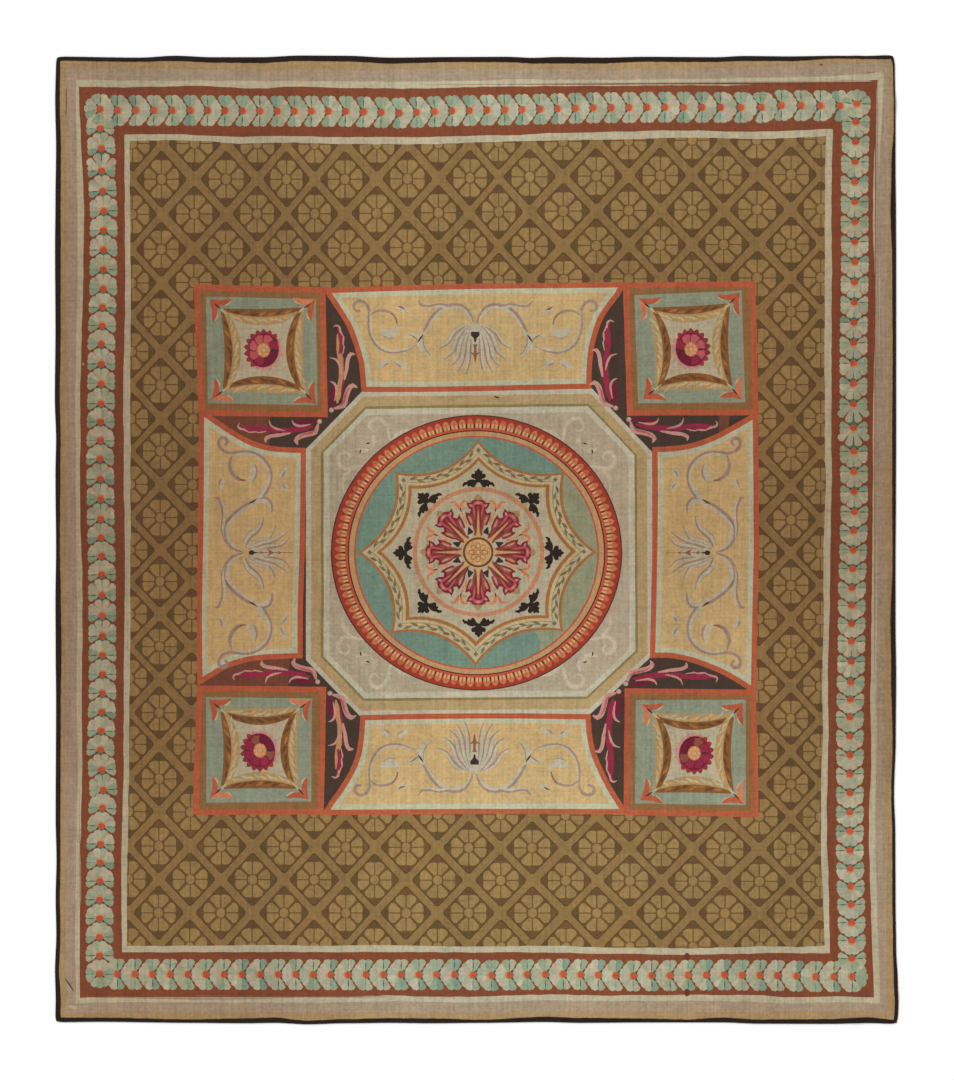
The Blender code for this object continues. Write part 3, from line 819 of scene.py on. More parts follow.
# %% One plume and its eight places
PLUME = [
    Stroke("plum", (1.5, 5.0, 6.0, 1.5), [(2, -0.5), (10, 0.5), (19, 1.5), (26, 3)]),
    Stroke("stem", (2.5, 5.6, 6.4, 5.8, 5.4, 3.6, 1.0), [(6.7, 6.1), (21, 7.8), (32, 10.4), (48.8, 9.6), (61, 6.8), (76, 6)]),
    Stroke("magenta", (0.5, 1.8, 1.8, 0.5), [(12, 9.5), (24, 11), (36, 13.5), (50, 11.5)]),
    Stroke("pale rose", (2.0, 5.6, 5.2, 5.2, 4.6, 0.8), [(1.5, 2.5), (4.4, 12.0), (12, 14.3), (21, 17.2), (24.5, 21.5), (22.2, 26)]),
    Stroke("rose", (0.5, 2.4, 2.2, 0.5), [(3.6, 8), (8, 12.4), (16, 14.2), (22.6, 18.2)]),
    Stroke("pale rose", (0.8, 2.6, 2.4, 0.5), [(9, 3.2), (20, 5.2), (26.5, 3), (28.6, -1.7)]),
    Stroke("pale rose", (1.5, 3.8, 3.8, 3.8, 0.6), [(30, 13), (42, 15.2), (51, 16.5), (56, 19.5), (55.5, 23.9)]),
    Stroke("pale rose", (0.6, 2.4, 2.2, 0.5), [(36, 10.2), (44, 8.4), (50.5, 4.6), (52.2, -1.7)]),
    Stroke("magenta", (2.4, 3.6, 4.4, 0.6), [(56, 8), (66, 9.6), (77, 8.6), (83, 6)]),
    Stroke("pale rose", (0.6, 1.8, 0.9, 1.9, 0.9, 1.6, 0.5), [(55, 11.0), (63, 12.6), (66, 11.6), (73, 12.2), (75, 10.8), (81, 9)]),
    Stroke("pale rose", (1.2, 2.2, 1.8, 0.5), [(77, 8.8), (82.5, 8.2), (84.5, 5), (83, 1.7)]),
    Stroke("ink", (0.5, 2.2, 0.5), [(4.8, 7), (7.8, 8.2), (11.4, 8.8)]),
    Stroke("ink", (0.3, 1.3, 0.3), [(38, 12.4), (41, 12.8), (44.6, 12.4)]),
]
PLUME_LENGTH = 84
LEVEL_BREADTH = 0.9
Plume = namedtuple("Plume", "x y turn length flip stem")
PLUMES = [Plume(*row) for row in (
    (319.6, 421.4, 180, 81, 1, "magenta"), (331.5, 410.0, -90, 84, -1, "heart rim"),
    (628.8, 419.4, 0, 88, -1, "magenta"), (615.6, 408.0, -90, 87, 1, "magenta"),
    (317.7, 681.7, 180, 84, -1, "magenta"), (330.0, 693.2, 90, 84, 1, "heart rim"),
    (625.8, 683.8, 0, 91, 1, "magenta"), (618.7, 691.4, 90, 90, -1, "magenta"))]
for row in PLUMES:
    over, size = Spot(row.x, row.y, math.radians(row.turn)), row.length / PLUME_LENGTH
    breadth = LEVEL_BREADTH if row.turn in (0, 180) else 1.0
    placed = [Stroke(row.stem if s.yarn == "stem" else s.yarn, [w * (0.4 + 0.6 * breadth) for w in s.widths],
                     [(u * size, -v * row.flip * breadth) for u, v in s.line]) for s in PLUME]
    scroll(over, placed, [])
    loom.weave(ellipse(row.x, row.y, 2.6, 2.5, 8), "pale rose", 0.03)
    loom.weave(ellipse(row.x + 0.3, row.y - 0.2, 1.3, 1.3, 6), "scroll light", 0.02)
print(len(PLUMES), "plumes,", len(loom.points), "points so far")

# %% [markdown]
# ## The corner squares
#
# A square has a coral line, a brown frame and a blue ground. On it four leafy garlands sag inward between
# four tulips, round an ivory field with one rosette. The weavers shaded all of it from the middle of the
# rug, so in each square the pale leaves and the light petals lie on another side.

# %% Places of the four squares
Square = namedtuple("Square", "outer ground ivory rosette light")

SQUARES = [
    Square([(193.8, 284.5), (325.6, 287.2), (327.8, 417.3), (199.0, 415.8)],
           [(205.8, 296.8), (315.8, 299.0), (317.7, 405.2), (207.8, 403.4)],
           [(223.0, 311.0), (301.8, 310.0), (303.4, 391.5), (225.0, 389.5)], (263.7, 350.3), (-1, -1)),
    Square([(622.8, 282.8), (755.0, 281.2), (758.7, 415.2), (627.0, 415.8)],
           [(634.3, 295.4), (741.5, 290.6), (745.3, 402.5), (638.2, 403.4)],
           [(652.0, 309.7), (727.6, 305.8), (730.0, 386.5), (656.8, 388.1)], (690.8, 349.4), (1, -1)),
    Square([(197.3, 685.4), (326.4, 686.8), (323.6, 814.6), (192.5, 814.6)],
           [(206.1, 697.1), (312.2, 698.2), (311.1, 801.5), (206.1, 802.7)],
           [(222.7, 710.8), (297.3, 710.3), (296.2, 786.6), (223.3, 786.6)], (260.0, 750.4), (-1, 1)),
    Square([(624.6, 688.2), (755.9, 689.6), (758.6, 816.9), (623.3, 815.2)],
           [(636.0, 700.1), (745.7, 699.6), (745.7, 805.2), (635.0, 803.4)],
           [(654.9, 715.4), (731.4, 715.9), (731.4, 791.4), (654.9, 790.4)], (694.2, 753.2), (1, 1)),
]
for square in SQUARES:
    loom.weave(stepped(square.outer, 22), "coral", 0.01)
    loom.weave(stepped(inset(square.outer, 5.6), 22), "frame brown", 0.01)
    loom.weave(stepped(square.ground, 22), "sky", 0.02)
print(len(SQUARES), "squares")


# %% Garlands, tulips and rosette of a square
LEVEL_SAG, UPRIGHT_SAG = 6.4, 8.6


def sagging(start, stop, middle, sag, steps=10):
    """A line from start to stop that sags towards a middle point."""
    half_x, half_y = (start[0] + stop[0]) / 2, (start[1] + stop[1]) / 2
    length = math.hypot(middle[0] - half_x, middle[1] - half_y)
    to_x, to_y = (middle[0] - half_x) / length, (middle[1] - half_y) / length
    line = []
    for k in range(steps + 1):
        t = k / steps
        drop = sag * 4 * t * (1 - t)
        line.append((start[0] * (1 - t) + stop[0] * t + to_x * drop, start[1] * (1 - t) + stop[1] * t + to_y * drop))
    return line


def along_line(line, share):
    """(x, y, heading) at a share of a line."""
    place = share * (len(line) - 1)
    k = min(int(place), len(line) - 2)
    (ax, ay), (bx, by) = line[k], line[k + 1]
    t = place - k
    return ax + (bx - ax) * t, ay + (by - ay) * t, math.atan2(by - ay, bx - ax)


def garland(line, brown_side):
    """A brown leaf band beside a pale leafy one. brown_side is 1 or -1 of the line's left."""
    for yarn, side, broad in (("leaf tan", -brown_side, 8.6), ("leaf brown", brown_side, 8.0)):
        far = []
        for k in range(len(line)):
            x, y, heading = along_line(line, k / (len(line) - 1))
            out = broad * math.sin(math.pi * (0.06 + 0.88 * k / (len(line) - 1))) ** 0.7
            far.append(Spot(x, y, heading).at(0, side * out))
        loom.weave(line + far[::-1], yarn, 0.02)
    for k in range(7):
        x, y, heading = along_line(line, 0.17 + 0.11 * k)
        spot = Spot(x, y, heading)
        loom.weave(leaf(spot.at(-4.6, brown_side * 1.4), spot.at(5.0, brown_side * (6.0 if k % 2 else 3.4)), 2.8, 0.5, 3),
                   loom.chance.choice(("leaf dark", "leaf dark", "star brown")), 0.08)
    for k in range(10):
        x, y, heading = along_line(line, 0.14 + 0.08 * k)
        spot = Spot(x, y, heading)
        loom.weave(leaf(spot.at(-4.0, -brown_side * 1.4), spot.at(4.6, -brown_side * (6.6 if k % 2 else 4.0)), 2.4, 0.5, 3),
                   loom.chance.choice(("leaf cream", "leaf cream", "leaf cream", "peach", "ivory")), 0.05)


TULIP_HALF = [(17.8, 0), (13.0, 3.6), (8.6, 7.2), (5.8, 10.0), (3.4, 13.0), (0.4, 15.0), (0.2, 11.6), (0.4, 8.6),
              (2.6, 5.4), (5.4, 2.6), (6.0, 0)]


def tulip(spot, first, second):
    """Two horned petals that point at the square's corner."""
    for flip, yarn in ((1, first), (-1, second)):
        loom.weave(spot.all([(u, flip * v) for u, v in TULIP_HALF]), yarn, 0.04)
        edge = smooth([(2.4, flip * 5.4), (0.4, flip * 9.0), (0.2, flip * 13.4)], 3)
        loom.weave(ribbon(spot.all(edge), (0.5, 1.7, 0.5)), "leaf cream", 0.04)
    loom.weave(ribbon(spot.all([(-6.0, 0), (0.0, 0), (5.6, 0)]), (0.4, 2.2, 1.6)), "leaf cream", 0.03)
    loom.weave(ribbon(spot.all([(3.0, 0), (7.0, 0.2), (11.4, 0.3)]), (1.0, 1.7, 0.5)), "ink", 0.03)


SCALLOPS = 18
ROSETTE_TIP, ROSETTE_FOOT, TALLER = 19.4, 16.0, 1.07


def rosette(x, y, light):
    """The magenta rosette, lit from one side, and a little taller than wide."""
    light_turn, first = math.atan2(light[1], light[0]), len(loom.points)
    for k in range(SCALLOPS):
        angle = 2 * math.pi * (k + 0.5) / SCALLOPS
        lit = math.cos(angle - light_turn)
        yarn = "rim brown" if lit > 0.45 else "ring red" if lit > -0.2 else "pale rose"
        scallop = Spot(x, y, angle)
        loom.weave(scallop.all([(ROSETTE_FOOT, -2.7), (ROSETTE_TIP - 1.2, -2.2), (ROSETTE_TIP + 0.8, 0),
                                (ROSETTE_TIP - 1.2, 2.2), (ROSETTE_FOOT, 2.7)]), yarn, 0.05)
    loom.weave(ellipse(x, y, 16.8, 17.6, 26), "magenta", 0.02)
    rim = [(x + 16.2 * math.cos(a), y + 17.0 * math.sin(a))
           for a in (light_turn + math.pi + math.radians(d) for d in range(-75, 76, 15))]
    loom.weave(ribbon(rim, (0.4, 2.0, 2.4, 2.0, 0.4)), "pale rose", 0.02)
    loom.weave(ellipse(x, y, 14.8, 15.6, 24), "plum", 0.02)
    for k in range(8):
        angle = 2 * math.pi * (k + 0.5) / 8
        lit = math.cos(angle - light_turn)
        spot = Spot(x, y, angle)
        petal = spot.all([(5.2, -1.6), (9.0, -4.3), (13.4, -4.3), (14.9, 0), (13.4, 4.3), (9.0, 4.3), (5.2, 1.6)])
        shaded = "rose brown" if light[1] > 0 else "magenta"
        loom.weave(petal, ("rose" if light[1] < 0 else "magenta") if lit > 0.1 else shaded if lit > -0.9 else "plum", 0.06)
        notch = Spot(x, y, angle + math.pi / 8)
        loom.weave(notch.all([(7.6, -1.0), (11.8, -1.0), (11.8, 1.0), (7.6, 1.0)]), "ink", 0.05)
    loom.weave(ellipse(x, y, 6.6, 6.8, 12), "soft coral", 0.02)
    for k in range(8):
        angle = 2 * math.pi * k / 8
        loom.weave(ellipse(x + 4.4 * math.cos(angle), y + 4.5 * math.sin(angle), 1.8, 1.8, 6), "peach", 0.05)
    loom.weave(ellipse(x, y, 2.0, 2.0, 7), "leaf cream", 0.02)
    loom.points[first:] = [(px, y + (py - y) * TALLER) for px, py in loom.points[first:]]


for square in SQUARES:
    middle, corners = square.rosette, square.ivory
    lines = [sagging(start, stop, middle, UPRIGHT_SAG if number % 2 else LEVEL_SAG)
             for number, (start, stop) in enumerate(zip(corners, corners[1:] + corners[:1]))]
    loom.weave([point for line in lines for point in line[:-1]], "ivory", 0.01)
    for number, line in enumerate(lines):
        upright = number % 2 == 1
        toward = square.light[0] if upright else square.light[1]
        # Clockwise, the line's left is outward; brown is outward on the lit side and inward opposite
        outward = (0, -1) if number == 0 else (1, 0) if number == 1 else (0, 1) if number == 2 else (-1, 0)
        brown_out = outward[0 if upright else 1] * toward > 0
        garland(line, -1 if brown_out else 1)
    for number, (start, corner) in enumerate(zip(corners, square.ground)):
        spot = Spot(*start, math.atan2(corner[1] - start[1], corner[0] - start[0]))
        tulip(spot, *(("coral", "soft coral") if (number + (square.light[0] > 0)) % 2 else ("coral", "coral")))
    rosette(*square.rosette, square.light)
print("garlands and rosettes,", len(loom.points), "points so far")

# %% [markdown]
# ## The faint scrolls round the medallion
#
# In the four corners of the eight-sided ground there are pale scrolls, so worn that they are hardly
# lighter than the ground. Two small slits are open beside each, where two colours met and the
# stitches that closed them have gone.

# %% Worn scrolls and slits
MEDALLION = (476.5, 552.7)
CORNER_SCROLL = [
    Stroke("ground scroll", (0.6, 2.2, 2.6, 2.4, 1.8, 0.8), [(84, 108), (87, 116), (89, 126), (96, 134), (104, 133), (107, 126),
                                                           (102, 121), (97, 125)]),
    Stroke("ground scroll", (0.6, 2.4, 2.6, 2.0, 1.2), [(86, 110), (80, 117), (74, 121), (66, 123)]),
    Stroke("ground scroll", (0.6, 2.2, 2.6, 2.4, 1.8, 0.8), [(108, 87), (120, 86), (131, 84), (138, 90), (137, 98), (130, 101),
                                                           (126, 96), (130, 92)]),
    Stroke("ground scroll", (0.6, 2.4, 2.4, 1.6, 0.8), [(124, 84), (131, 78), (134, 70), (133, 62)]),
    Stroke("ivory", (0.6, 4.0, 0.6), [(104, 104), (110, 108), (117, 113)]),
    Stroke("ground scroll", (0.6, 3.4, 0.6), [(104, 106), (102, 112), (104, 119)]),
    Stroke("ground scroll", (0.6, 3.4, 0.6), [(107, 103), (114, 102), (121, 104)]),
]
for flip_x, flip_y in ((-1, -1), (1, -1), (1, 1), (-1, 1)):
    for stroke in CORNER_SCROLL:
        line = [(MEDALLION[0] + flip_x * u, MEDALLION[1] + flip_y * v) for u, v in smooth(stroke.line, 2)]
        loom.weave(ribbon(line, [1.6 * width for width in stroke.widths]), stroke.yarn, 0.02)
    for (ax, ay), (bx, by) in (((106.5, 109.8), (111.0, 108.6)), ((115.6, 103.4), (116.4, 98.6))):
        slit = [(MEDALLION[0] + flip_x * u, MEDALLION[1] + flip_y * v) for u, v in ((ax, ay), (bx, by))]
        loom.weave(leaf(*slit, 1.7, 0.2, 4), "ink", 0.05)
print("corner scrolls")

# %% [markdown]
# ## The medallion's rings
#
# The medallion is a slightly flattened circle. Its rim is a ring of eggs and darts, an ornament borrowed
# from carved mouldings: rounded pale ovals with a dark dart between each two. Inside it is a plain
# tan ring with a coral line on either side.

# %% Rings, eggs and darts
RING_X, RING_Y = 145.7, 137.8
RING_STEPS = 72
RINGS = ((0.0, "dart"), (1.3, "ring red"), (14.4, "ring coral"), (16.9, "dart"), (18.2, "ring tan"), (23.2, "ring coral"),
         (24.8, "turquoise"))


def on_ring(angle, distance):
    """A place on the medallion's rim, moved inward."""
    return (MEDALLION[0] + (RING_X - distance) * math.cos(angle),
            MEDALLION[1] + (RING_Y - 0.9 * distance) * math.sin(angle))


for distance, yarn in RINGS:
    loom.weave([on_ring(2 * math.pi * k / RING_STEPS, distance) for k in range(RING_STEPS)], yarn, 0.01)
later_lot = [on_ring(math.radians(degrees), 24.9) for degrees in range(-42, 59, 5)]
loom.weave(later_lot + [(540.5, 640), (510, 600), (520, 500)], "turquoise grey", 0.01)
EGGS = 105
for k in range(EGGS):
    here, pitch = 2 * math.pi * k / EGGS, 2 * math.pi / EGGS
    egg = [on_ring(here + pitch * a, d) for a, d in (
        (-0.40, 14.2), (-0.42, 8.6), (-0.26, 5.4), (0.0, 3.9), (0.26, 5.4), (0.42, 8.6), (0.40, 14.2))]
    loom.weave(egg, loom.chance.choice(("egg shade", "egg shade", "egg coral")), 0.06)
    loom.weave([on_ring(here + pitch * a, d) for a, d in (
        (-0.34, 14.3), (-0.36, 10.2), (0.0, 8.8), (0.36, 10.2), (0.34, 14.3))], "egg", 0.05)
    loom.weave([on_ring(here + pitch * a, d) for a, d in ((-0.10, 14.3), (-0.12, 7.4), (0.12, 7.4), (0.10, 14.3))],
               "egg coral", 0.06)
    loom.weave([on_ring(here + pitch * (0.5 + a), d) for a, d in ((-0.12, 14.6), (-0.06, 10.0), (0.06, 10.0), (0.12, 14.6))], "dart", 0.08)
print(EGGS, "eggs,", len(loom.points), "points so far")

# %% [markdown]
# ## The star
#
# An eight-pointed star with hollow sides fills the ring. It has an outer brown line, an ivory band with a
# twig of olive leaves, a cream band and an inner brown line. Its points are read off the picture,
# outside and inside, and every line between is found by mixing the two.

# %% Star lines
StarPoint = namedtuple("StarPoint", "outer_x outer_y inner_x inner_y")

STAR = [StarPoint(*row) for row in (
    (478.0, 439.4, 478.7, 461.0), (564.6, 472.0, 546.0, 487.4), (596.8, 552.0, 571.0, 551.2), (563.4, 631.4, 545.4, 615.4),
    (475.4, 666.4, 476.0, 641.6), (390.8, 633.8, 409.4, 616.8), (357.8, 552.6, 381.6, 552.0), (395.2, 472.0, 411.6, 488.6))]
OUTER_HOLLOW, INNER_HOLLOW = 14.5, 8.5


def star_side(number, depth, steps=12):
    """One hollow side of the star. depth is 0 at the outer line and 1 at the inner one."""
    ends = []
    for point in (STAR[number], STAR[(number + 1) % len(STAR)]):
        ends.append((point.outer_x * (1 - depth) + point.inner_x * depth,
                     point.outer_y * (1 - depth) + point.inner_y * depth))
    hollow = OUTER_HOLLOW * (1 - depth) + INNER_HOLLOW * depth
    return sagging(*ends, MEDALLION, hollow, steps)


def star_outline(depth):
    return [point for number in range(len(STAR)) for point in star_side(number, depth)[:-1]]


for depth, yarn in ((0.0, "star brown"), (0.18, "ivory"), (0.58, "olive"), (0.62, "leaf cream"), (0.80, "star brown"),
                    (1.0, "ivory")):
    loom.weave(star_outline(depth), yarn, 0.01)
for number in range(len(STAR)):
    twig = star_side(number, 0.40, 12)
    loom.weave(ribbon(twig[1:-1], (0.6, 0.8, 0.6)), "garland", 0.02)
    for k in range(11):
        x, y, heading = along_line(twig, 0.10 + 0.0775 * k)
        side = 1 if k % 2 else -1
        spot = Spot(x, y, heading + side * 0.34)
        loom.weave(leaf(spot.at(-2.0, 0), spot.at(7.4, 0), 2.7, side * 0.6, 3), "garland", 0.10)
        loom.weave(leaf(spot.at(-1.0, -side * 2.2), spot.at(6.0, -side * 2.4), 1.5, 0.2, 3),
                   loom.chance.choice(("pale celadon", "leaf cream", "egg")), 0.05)
    point = STAR[number]
    x, y = point.outer_x * 0.50 + point.inner_x * 0.50, point.outer_y * 0.50 + point.inner_y * 0.50
    loom.weave(ellipse(x, y, 2.6, 2.6, 4), "garland", 0.04)
print("star lines,", len(loom.points), "points so far")

# %% [markdown]
# Eight small black palmettes stand in the points, with their feet toward the middle. Each is a trefoil
# over two curled leaves.

# %% Black palmettes
HEART = (478.2, 552.3)
PALMETTE_FOOT = (67.4, 66.4)
PALMETTE_HALF = [
    (0, 18.6), (2.2, 15.6), (4.0, 15.4), (3.6, 12.8), (6.4, 12.8), (7.6, 10.6), (6.4, 8.4), (3.8, 7.6), (2.6, 6.6),
    (6.0, 7.2), (9.6, 6.6), (12.2, 4.6), (14.4, 4.4), (16.4, 1.2), (15.4, -0.6), (13.4, 1.2), (11.2, 1.8),
    (10.2, -0.8), (8.2, 0.6), (6.2, -1.6), (4.4, -1.2), (2.8, 1.6), (1.2, 4.0)]
for number in range(len(STAR)):
    angle = math.pi / 4 * number
    foot = Spot(HEART[0] + 0.3 + PALMETTE_FOOT[0] * math.cos(angle), HEART[1] + 0.6 + PALMETTE_FOOT[1] * math.sin(angle),
                angle - math.pi / 2)
    loom.weave(foot.all(PALMETTE_HALF + [(-u, v) for u, v in PALMETTE_HALF[:0:-1]]), "palmette", 0.04)
print("palmettes in the points,", len(loom.points), "points so far")

# %% [markdown]
# ## The heart of the medallion
#
# Inside a coral ring eight acanthus leaves turn round a small disc. Each leaf is a dark magenta outline
# filled with pinks, a pale midrib and a curled crown, over a worn green tip. Forked sprigs
# stand between them, and small black triangles lie at their feet.

# %% Acanthus leaves, sprigs and disc
loom.weave(ellipse(HEART[0] + 0.3, HEART[1] - 0.4, 65.8, 65.0, 56), "heart ring", 0.01)
loom.weave(ellipse(HEART[0] + 0.3, HEART[1] - 0.4, 61.6, 60.8, 56), "ivory", 0.01)
LEAF_TIP = [(-8.4, 45.0), (-8.2, 50.6), (-4.6, 51.6), (-3.2, 54.6), (0, 57.4), (3.2, 54.6), (4.6, 51.6), (8.2, 50.6), (8.4, 45.0)]
LEAF_EDGE = [(1.4, 15.5), (4.6, 18.0), (6.4, 24.0), (9.0, 27.4), (11.6, 33.4), (12.8, 39.6), (8.8, 38.2), (7.0, 41.4),
             (9.8, 43.6), (11.8, 48.8), (7.6, 48.4), (5.6, 50.6), (2.8, 51.8), (0, 51.4)]
LEAF_FILL = [
    ("dusty rose", [(5.4, 24.5), (8.2, 29.0), (10.6, 35.6), (8.4, 36.6), (6.4, 33.0), (4.8, 28.0)]),
    ("pale rose", [(6.0, 27.6), (8.4, 31.6), (9.6, 35.4), (7.8, 34.2), (6.2, 31.0)]),
    ("rose brown", [(3.4, 19.0), (4.8, 22.0), (5.6, 30.0), (7.2, 36.6), (5.8, 38.4), (4.0, 32.0), (3.0, 24.0)]),
    ("rose", [(3.0, 31.0), (5.0, 38.6), (5.6, 44.0), (8.4, 46.6), (5.6, 47.4), (3.8, 44.6), (2.6, 38.0)]),
    ("pale rose", [(6.8, 44.0), (9.4, 46.6), (8.0, 47.2), (6.2, 46.0)]),
]
SPRIG = [
    Stroke("sprig", (0.5, 2.4, 2.8, 1.6, 0.6), [(0, 30), (0.6, 34.6), (0.6, 39.4), (0.2, 43.6)]),
    Stroke("leaf cream", (0.3, 1.2, 0.4), [(0.4, 34), (0.6, 38), (0.4, 41)]),
    Stroke("sprig", (1.6, 3.0, 2.8, 0.6), [(0.6, 46.6), (2.6, 50.6), (6.6, 52.8), (10.2, 50.2)]),
    Stroke("soft coral", (1.6, 3.2, 2.8, 0.6), [(-0.6, 46.6), (-1.6, 51.0), (-2.6, 55.4), (-7.4, 57.0)]),
    Stroke("heart ring", (0.6, 1.8, 0.6), [(1.6, 45.4), (4.2, 46.4), (6.4, 44.4)]),
    Stroke("ink", (0.4, 1.5, 0.5), [(0, 43.6), (0.1, 45.6), (0.6, 48)]),
]
for k in range(8):
    turn = math.pi / 4 * k
    stem = Spot(*HEART, turn, 1.02)
    between = Spot(*HEART, turn + math.pi / 8, flip=1 if k % 2 else -1)
    loom.weave(stem.all([(u * 1.0, -v) for u, v in LEAF_TIP]), "tan green", 0.05)
    outline = LEAF_EDGE + [(-u, v) for u, v in LEAF_EDGE[::-1]]
    loom.weave(stem.all([(u, -v) for u, v in outline]), loom.chance.choice(("wine", "wine", "plum")), 0.06)
    for flip in (1, -1):
        for yarn, shape in LEAF_FILL:
            loom.weave(stem.all([(flip * u, -v) for u, v in shape]), yarn, 0.07)
    loom.weave(ribbon(stem.all([(0, -16), (0, -24), (0, -34), (0, -45)]), (8.0, 4.0, 3.2, 2.4)), "rose brown", 0.04)
    loom.weave(ribbon(stem.all([(0, -14.5), (0, -19), (0, -28), (0, -41)]), (7.0, 3.0, 2.0, 0.7)), "peach", 0.03)
    loom.weave(stem.all([(-5.0, -45.2), (-4.4, -49.2), (0, -51.0), (4.4, -49.2), (5.0, -45.2), (2.0, -46.8), (-2.0, -46.8)]),
               "rose", 0.04)
    loom.weave(stem.all([(-3.0, -48.0), (0, -49.8), (3.0, -48.0), (0, -47.6)]), "pale rose", 0.03)
    loom.weave(between.all([(-4.8, -27.4), (4.8, -27.4), (4.2, -19.6), (0, -17.4), (-4.2, -19.6)]), "scroll light", 0.02)
    loom.weave(between.all([(-3.4, -19.6), (3.6, -20.2), (1.6, -26.6), (0.2, -27.2)]), "ink", 0.03)
    scroll(between, [Stroke(s.yarn, s.widths, [(u, -v) for u, v in s.line]) for s in SPRIG], [])
loom.weave(ellipse(*HEART, 15.3, 15.1, 28), "leaf dark", 0.01)
loom.weave(ellipse(*HEART, 13.2, 13.0, 28), "peach", 0.01)
for k in range(8):
    petal = Spot(*HEART, math.pi / 4 * k)
    loom.weave(petal.all(ellipse(6.6, 0, 3.6, 2.5, 8)), "star brown", 0.03)
    loom.weave(petal.all(ellipse(6.6, 0, 2.6, 1.6, 7)), "egg", 0.03)
loom.weave(ellipse(*HEART, 2.9, 2.9, 8), "star brown", 0.01)
loom.weave(ellipse(*HEART, 1.9, 1.9, 7), "egg", 0.01)
print("heart,", len(loom.points), "points so far")

# %% [markdown]
# ## The stripes of the border
#
# From the outside in, the border is a tan stripe, a dusty pink one, a cream line, the rust band that
# carries the flower chain, and a second cream line. Each table gives for one side where these stripes
# end, going inward. The stripes of two sides meet in a mitre, at the corner of their lines.

# %% Where the stripes of each side end
Stripes = namedtuple("Stripes", "along tan pink cream rust ivory")

TOP_STRIPES = [Stripes(*row) for row in (
    (78, 68.0, 79.7, 86.8, 134.7, 141.0), (127, 69.0, 80.9, 87.4, 134.6, 141.2), (180, 69.5, 80.9, 86.2, 134.2, 140.1),
    (207, 69.8, 80.7, 85.7, 135.9, 141.2), (240, 70.3, 80.9, 88.3, 136.8, 143.8), (270, 70.5, 81.4, 88.3, 136.0, 143.0),
    (293, 70.3, 81.2, 86.4, 135.9, 142.4), (332, 70.0, 81.3, 87.7, 137.4, 143.9), (394, 70.0, 81.9, 88.6, 137.0, 144.5),
    (427, 69.8, 81.6, 88.6, 137.1, 144.3), (484, 69.3, 80.4, 86.8, 135.6, 142.3), (519, 69.0, 79.2, 86.7, 135.4, 141.2),
    (546, 69.2, 79.7, 85.9, 133.5, 140.6), (612, 69.6, 79.9, 85.9, 132.1, 139.6), (665, 69.2, 79.3, 85.3, 130.6, 138.2),
    (697, 69.2, 79.0, 85.3, 130.7, 137.3), (728, 68.4, 78.3, 85.8, 131.9, 138.5), (769, 67.0, 77.5, 83.8, 131.5, 138.9),
    (830, 64.5, 76.6, 83.1, 129.2, 136.0), (882, 63.0, 72.6, 79.7, 128.0, 136.0))]
BOTTOM_STRIPES = [Stripes(*row) for row in (
    (80, 1012.6, 1003.0, 997.6, 952.0, 945.6), (125, 1011.5, 1002.0, 996.4, 952.2, 945.8),
    (210, 1011.0, 1002.3, 995.8, 952.0, 945.6), (248, 1011.3, 1002.4, 996.4, 951.9, 944.9),
    (332, 1012.0, 1002.3, 996.6, 952.1, 945.8), (390, 1012.3, 1001.2, 995.3, 951.8, 944.9),
    (428, 1012.5, 1001.8, 996.7, 952.0, 945.9), (462, 1012.8, 1002.4, 996.7, 952.4, 946.6),
    (493, 1012.2, 1002.0, 995.8, 952.3, 946.4), (528, 1011.6, 1000.4, 994.6, 952.1, 945.8),
    (564, 1011.0, 1000.3, 994.6, 952.6, 945.8), (611, 1011.2, 1000.8, 995.5, 953.7, 947.7),
    (650, 1011.0, 1000.8, 995.0, 954.1, 947.5), (686, 1010.8, 1000.7, 994.8, 954.9, 948.6),
    (723, 1011.4, 1001.0, 994.8, 954.0, 947.5), (760, 1012.0, 1001.7, 995.2, 953.2, 946.4),
    (778, 1011.8, 1003.0, 996.7, 953.1, 946.4), (797, 1011.5, 1003.5, 997.4, 953.1, 946.8),
    (830, 1011.2, 1002.0, 996.2, 953.0, 945.5), (873, 1010.9, 1003.0, 997.3, 953.0, 945.5))]
LEFT_STRIPES = [Stripes(*row) for row in (
    (87, 66.2, 76.0, 78.9, 124.3, 130.4), (140, 66.5, 76.4, 80.9, 124.2, 130.0), (175, 66.7, 77.2, 83.2, 124.8, 129.8),
    (211, 66.9, 77.8, 84.1, 124.9, 130.2), (292, 67.0, 77.6, 83.3, 125.2, 131.1), (322, 66.8, 77.0, 82.0, 125.1, 130.7),
    (345, 66.5, 76.4, 81.5, 124.3, 130.4), (390, 66.0, 75.4, 80.3, 123.2, 130.2), (440, 65.8, 75.6, 80.5, 123.8, 130.6),
    (491, 65.7, 75.8, 80.0, 124.0, 130.7), (530, 65.6, 76.2, 80.6, 124.9, 130.9), (572, 65.5, 77.0, 82.4, 124.9, 130.3),
    (616, 65.4, 77.2, 82.6, 124.9, 130.6), (652, 65.2, 77.1, 82.4, 124.0, 130.2), (695, 65.0, 76.6, 82.0, 123.9, 129.5),
    (771, 64.7, 77.8, 82.7, 123.6, 129.1), (807, 64.8, 76.8, 81.5, 122.7, 128.4), (852, 64.9, 76.1, 80.6, 121.6, 127.4),
    (890, 65.0, 75.8, 81.0, 121.4, 127.0), (945, 65.3, 75.3, 79.8, 122.1, 127.0), (997, 66.0, 76.0, 80.0, 122.3, 127.0))]
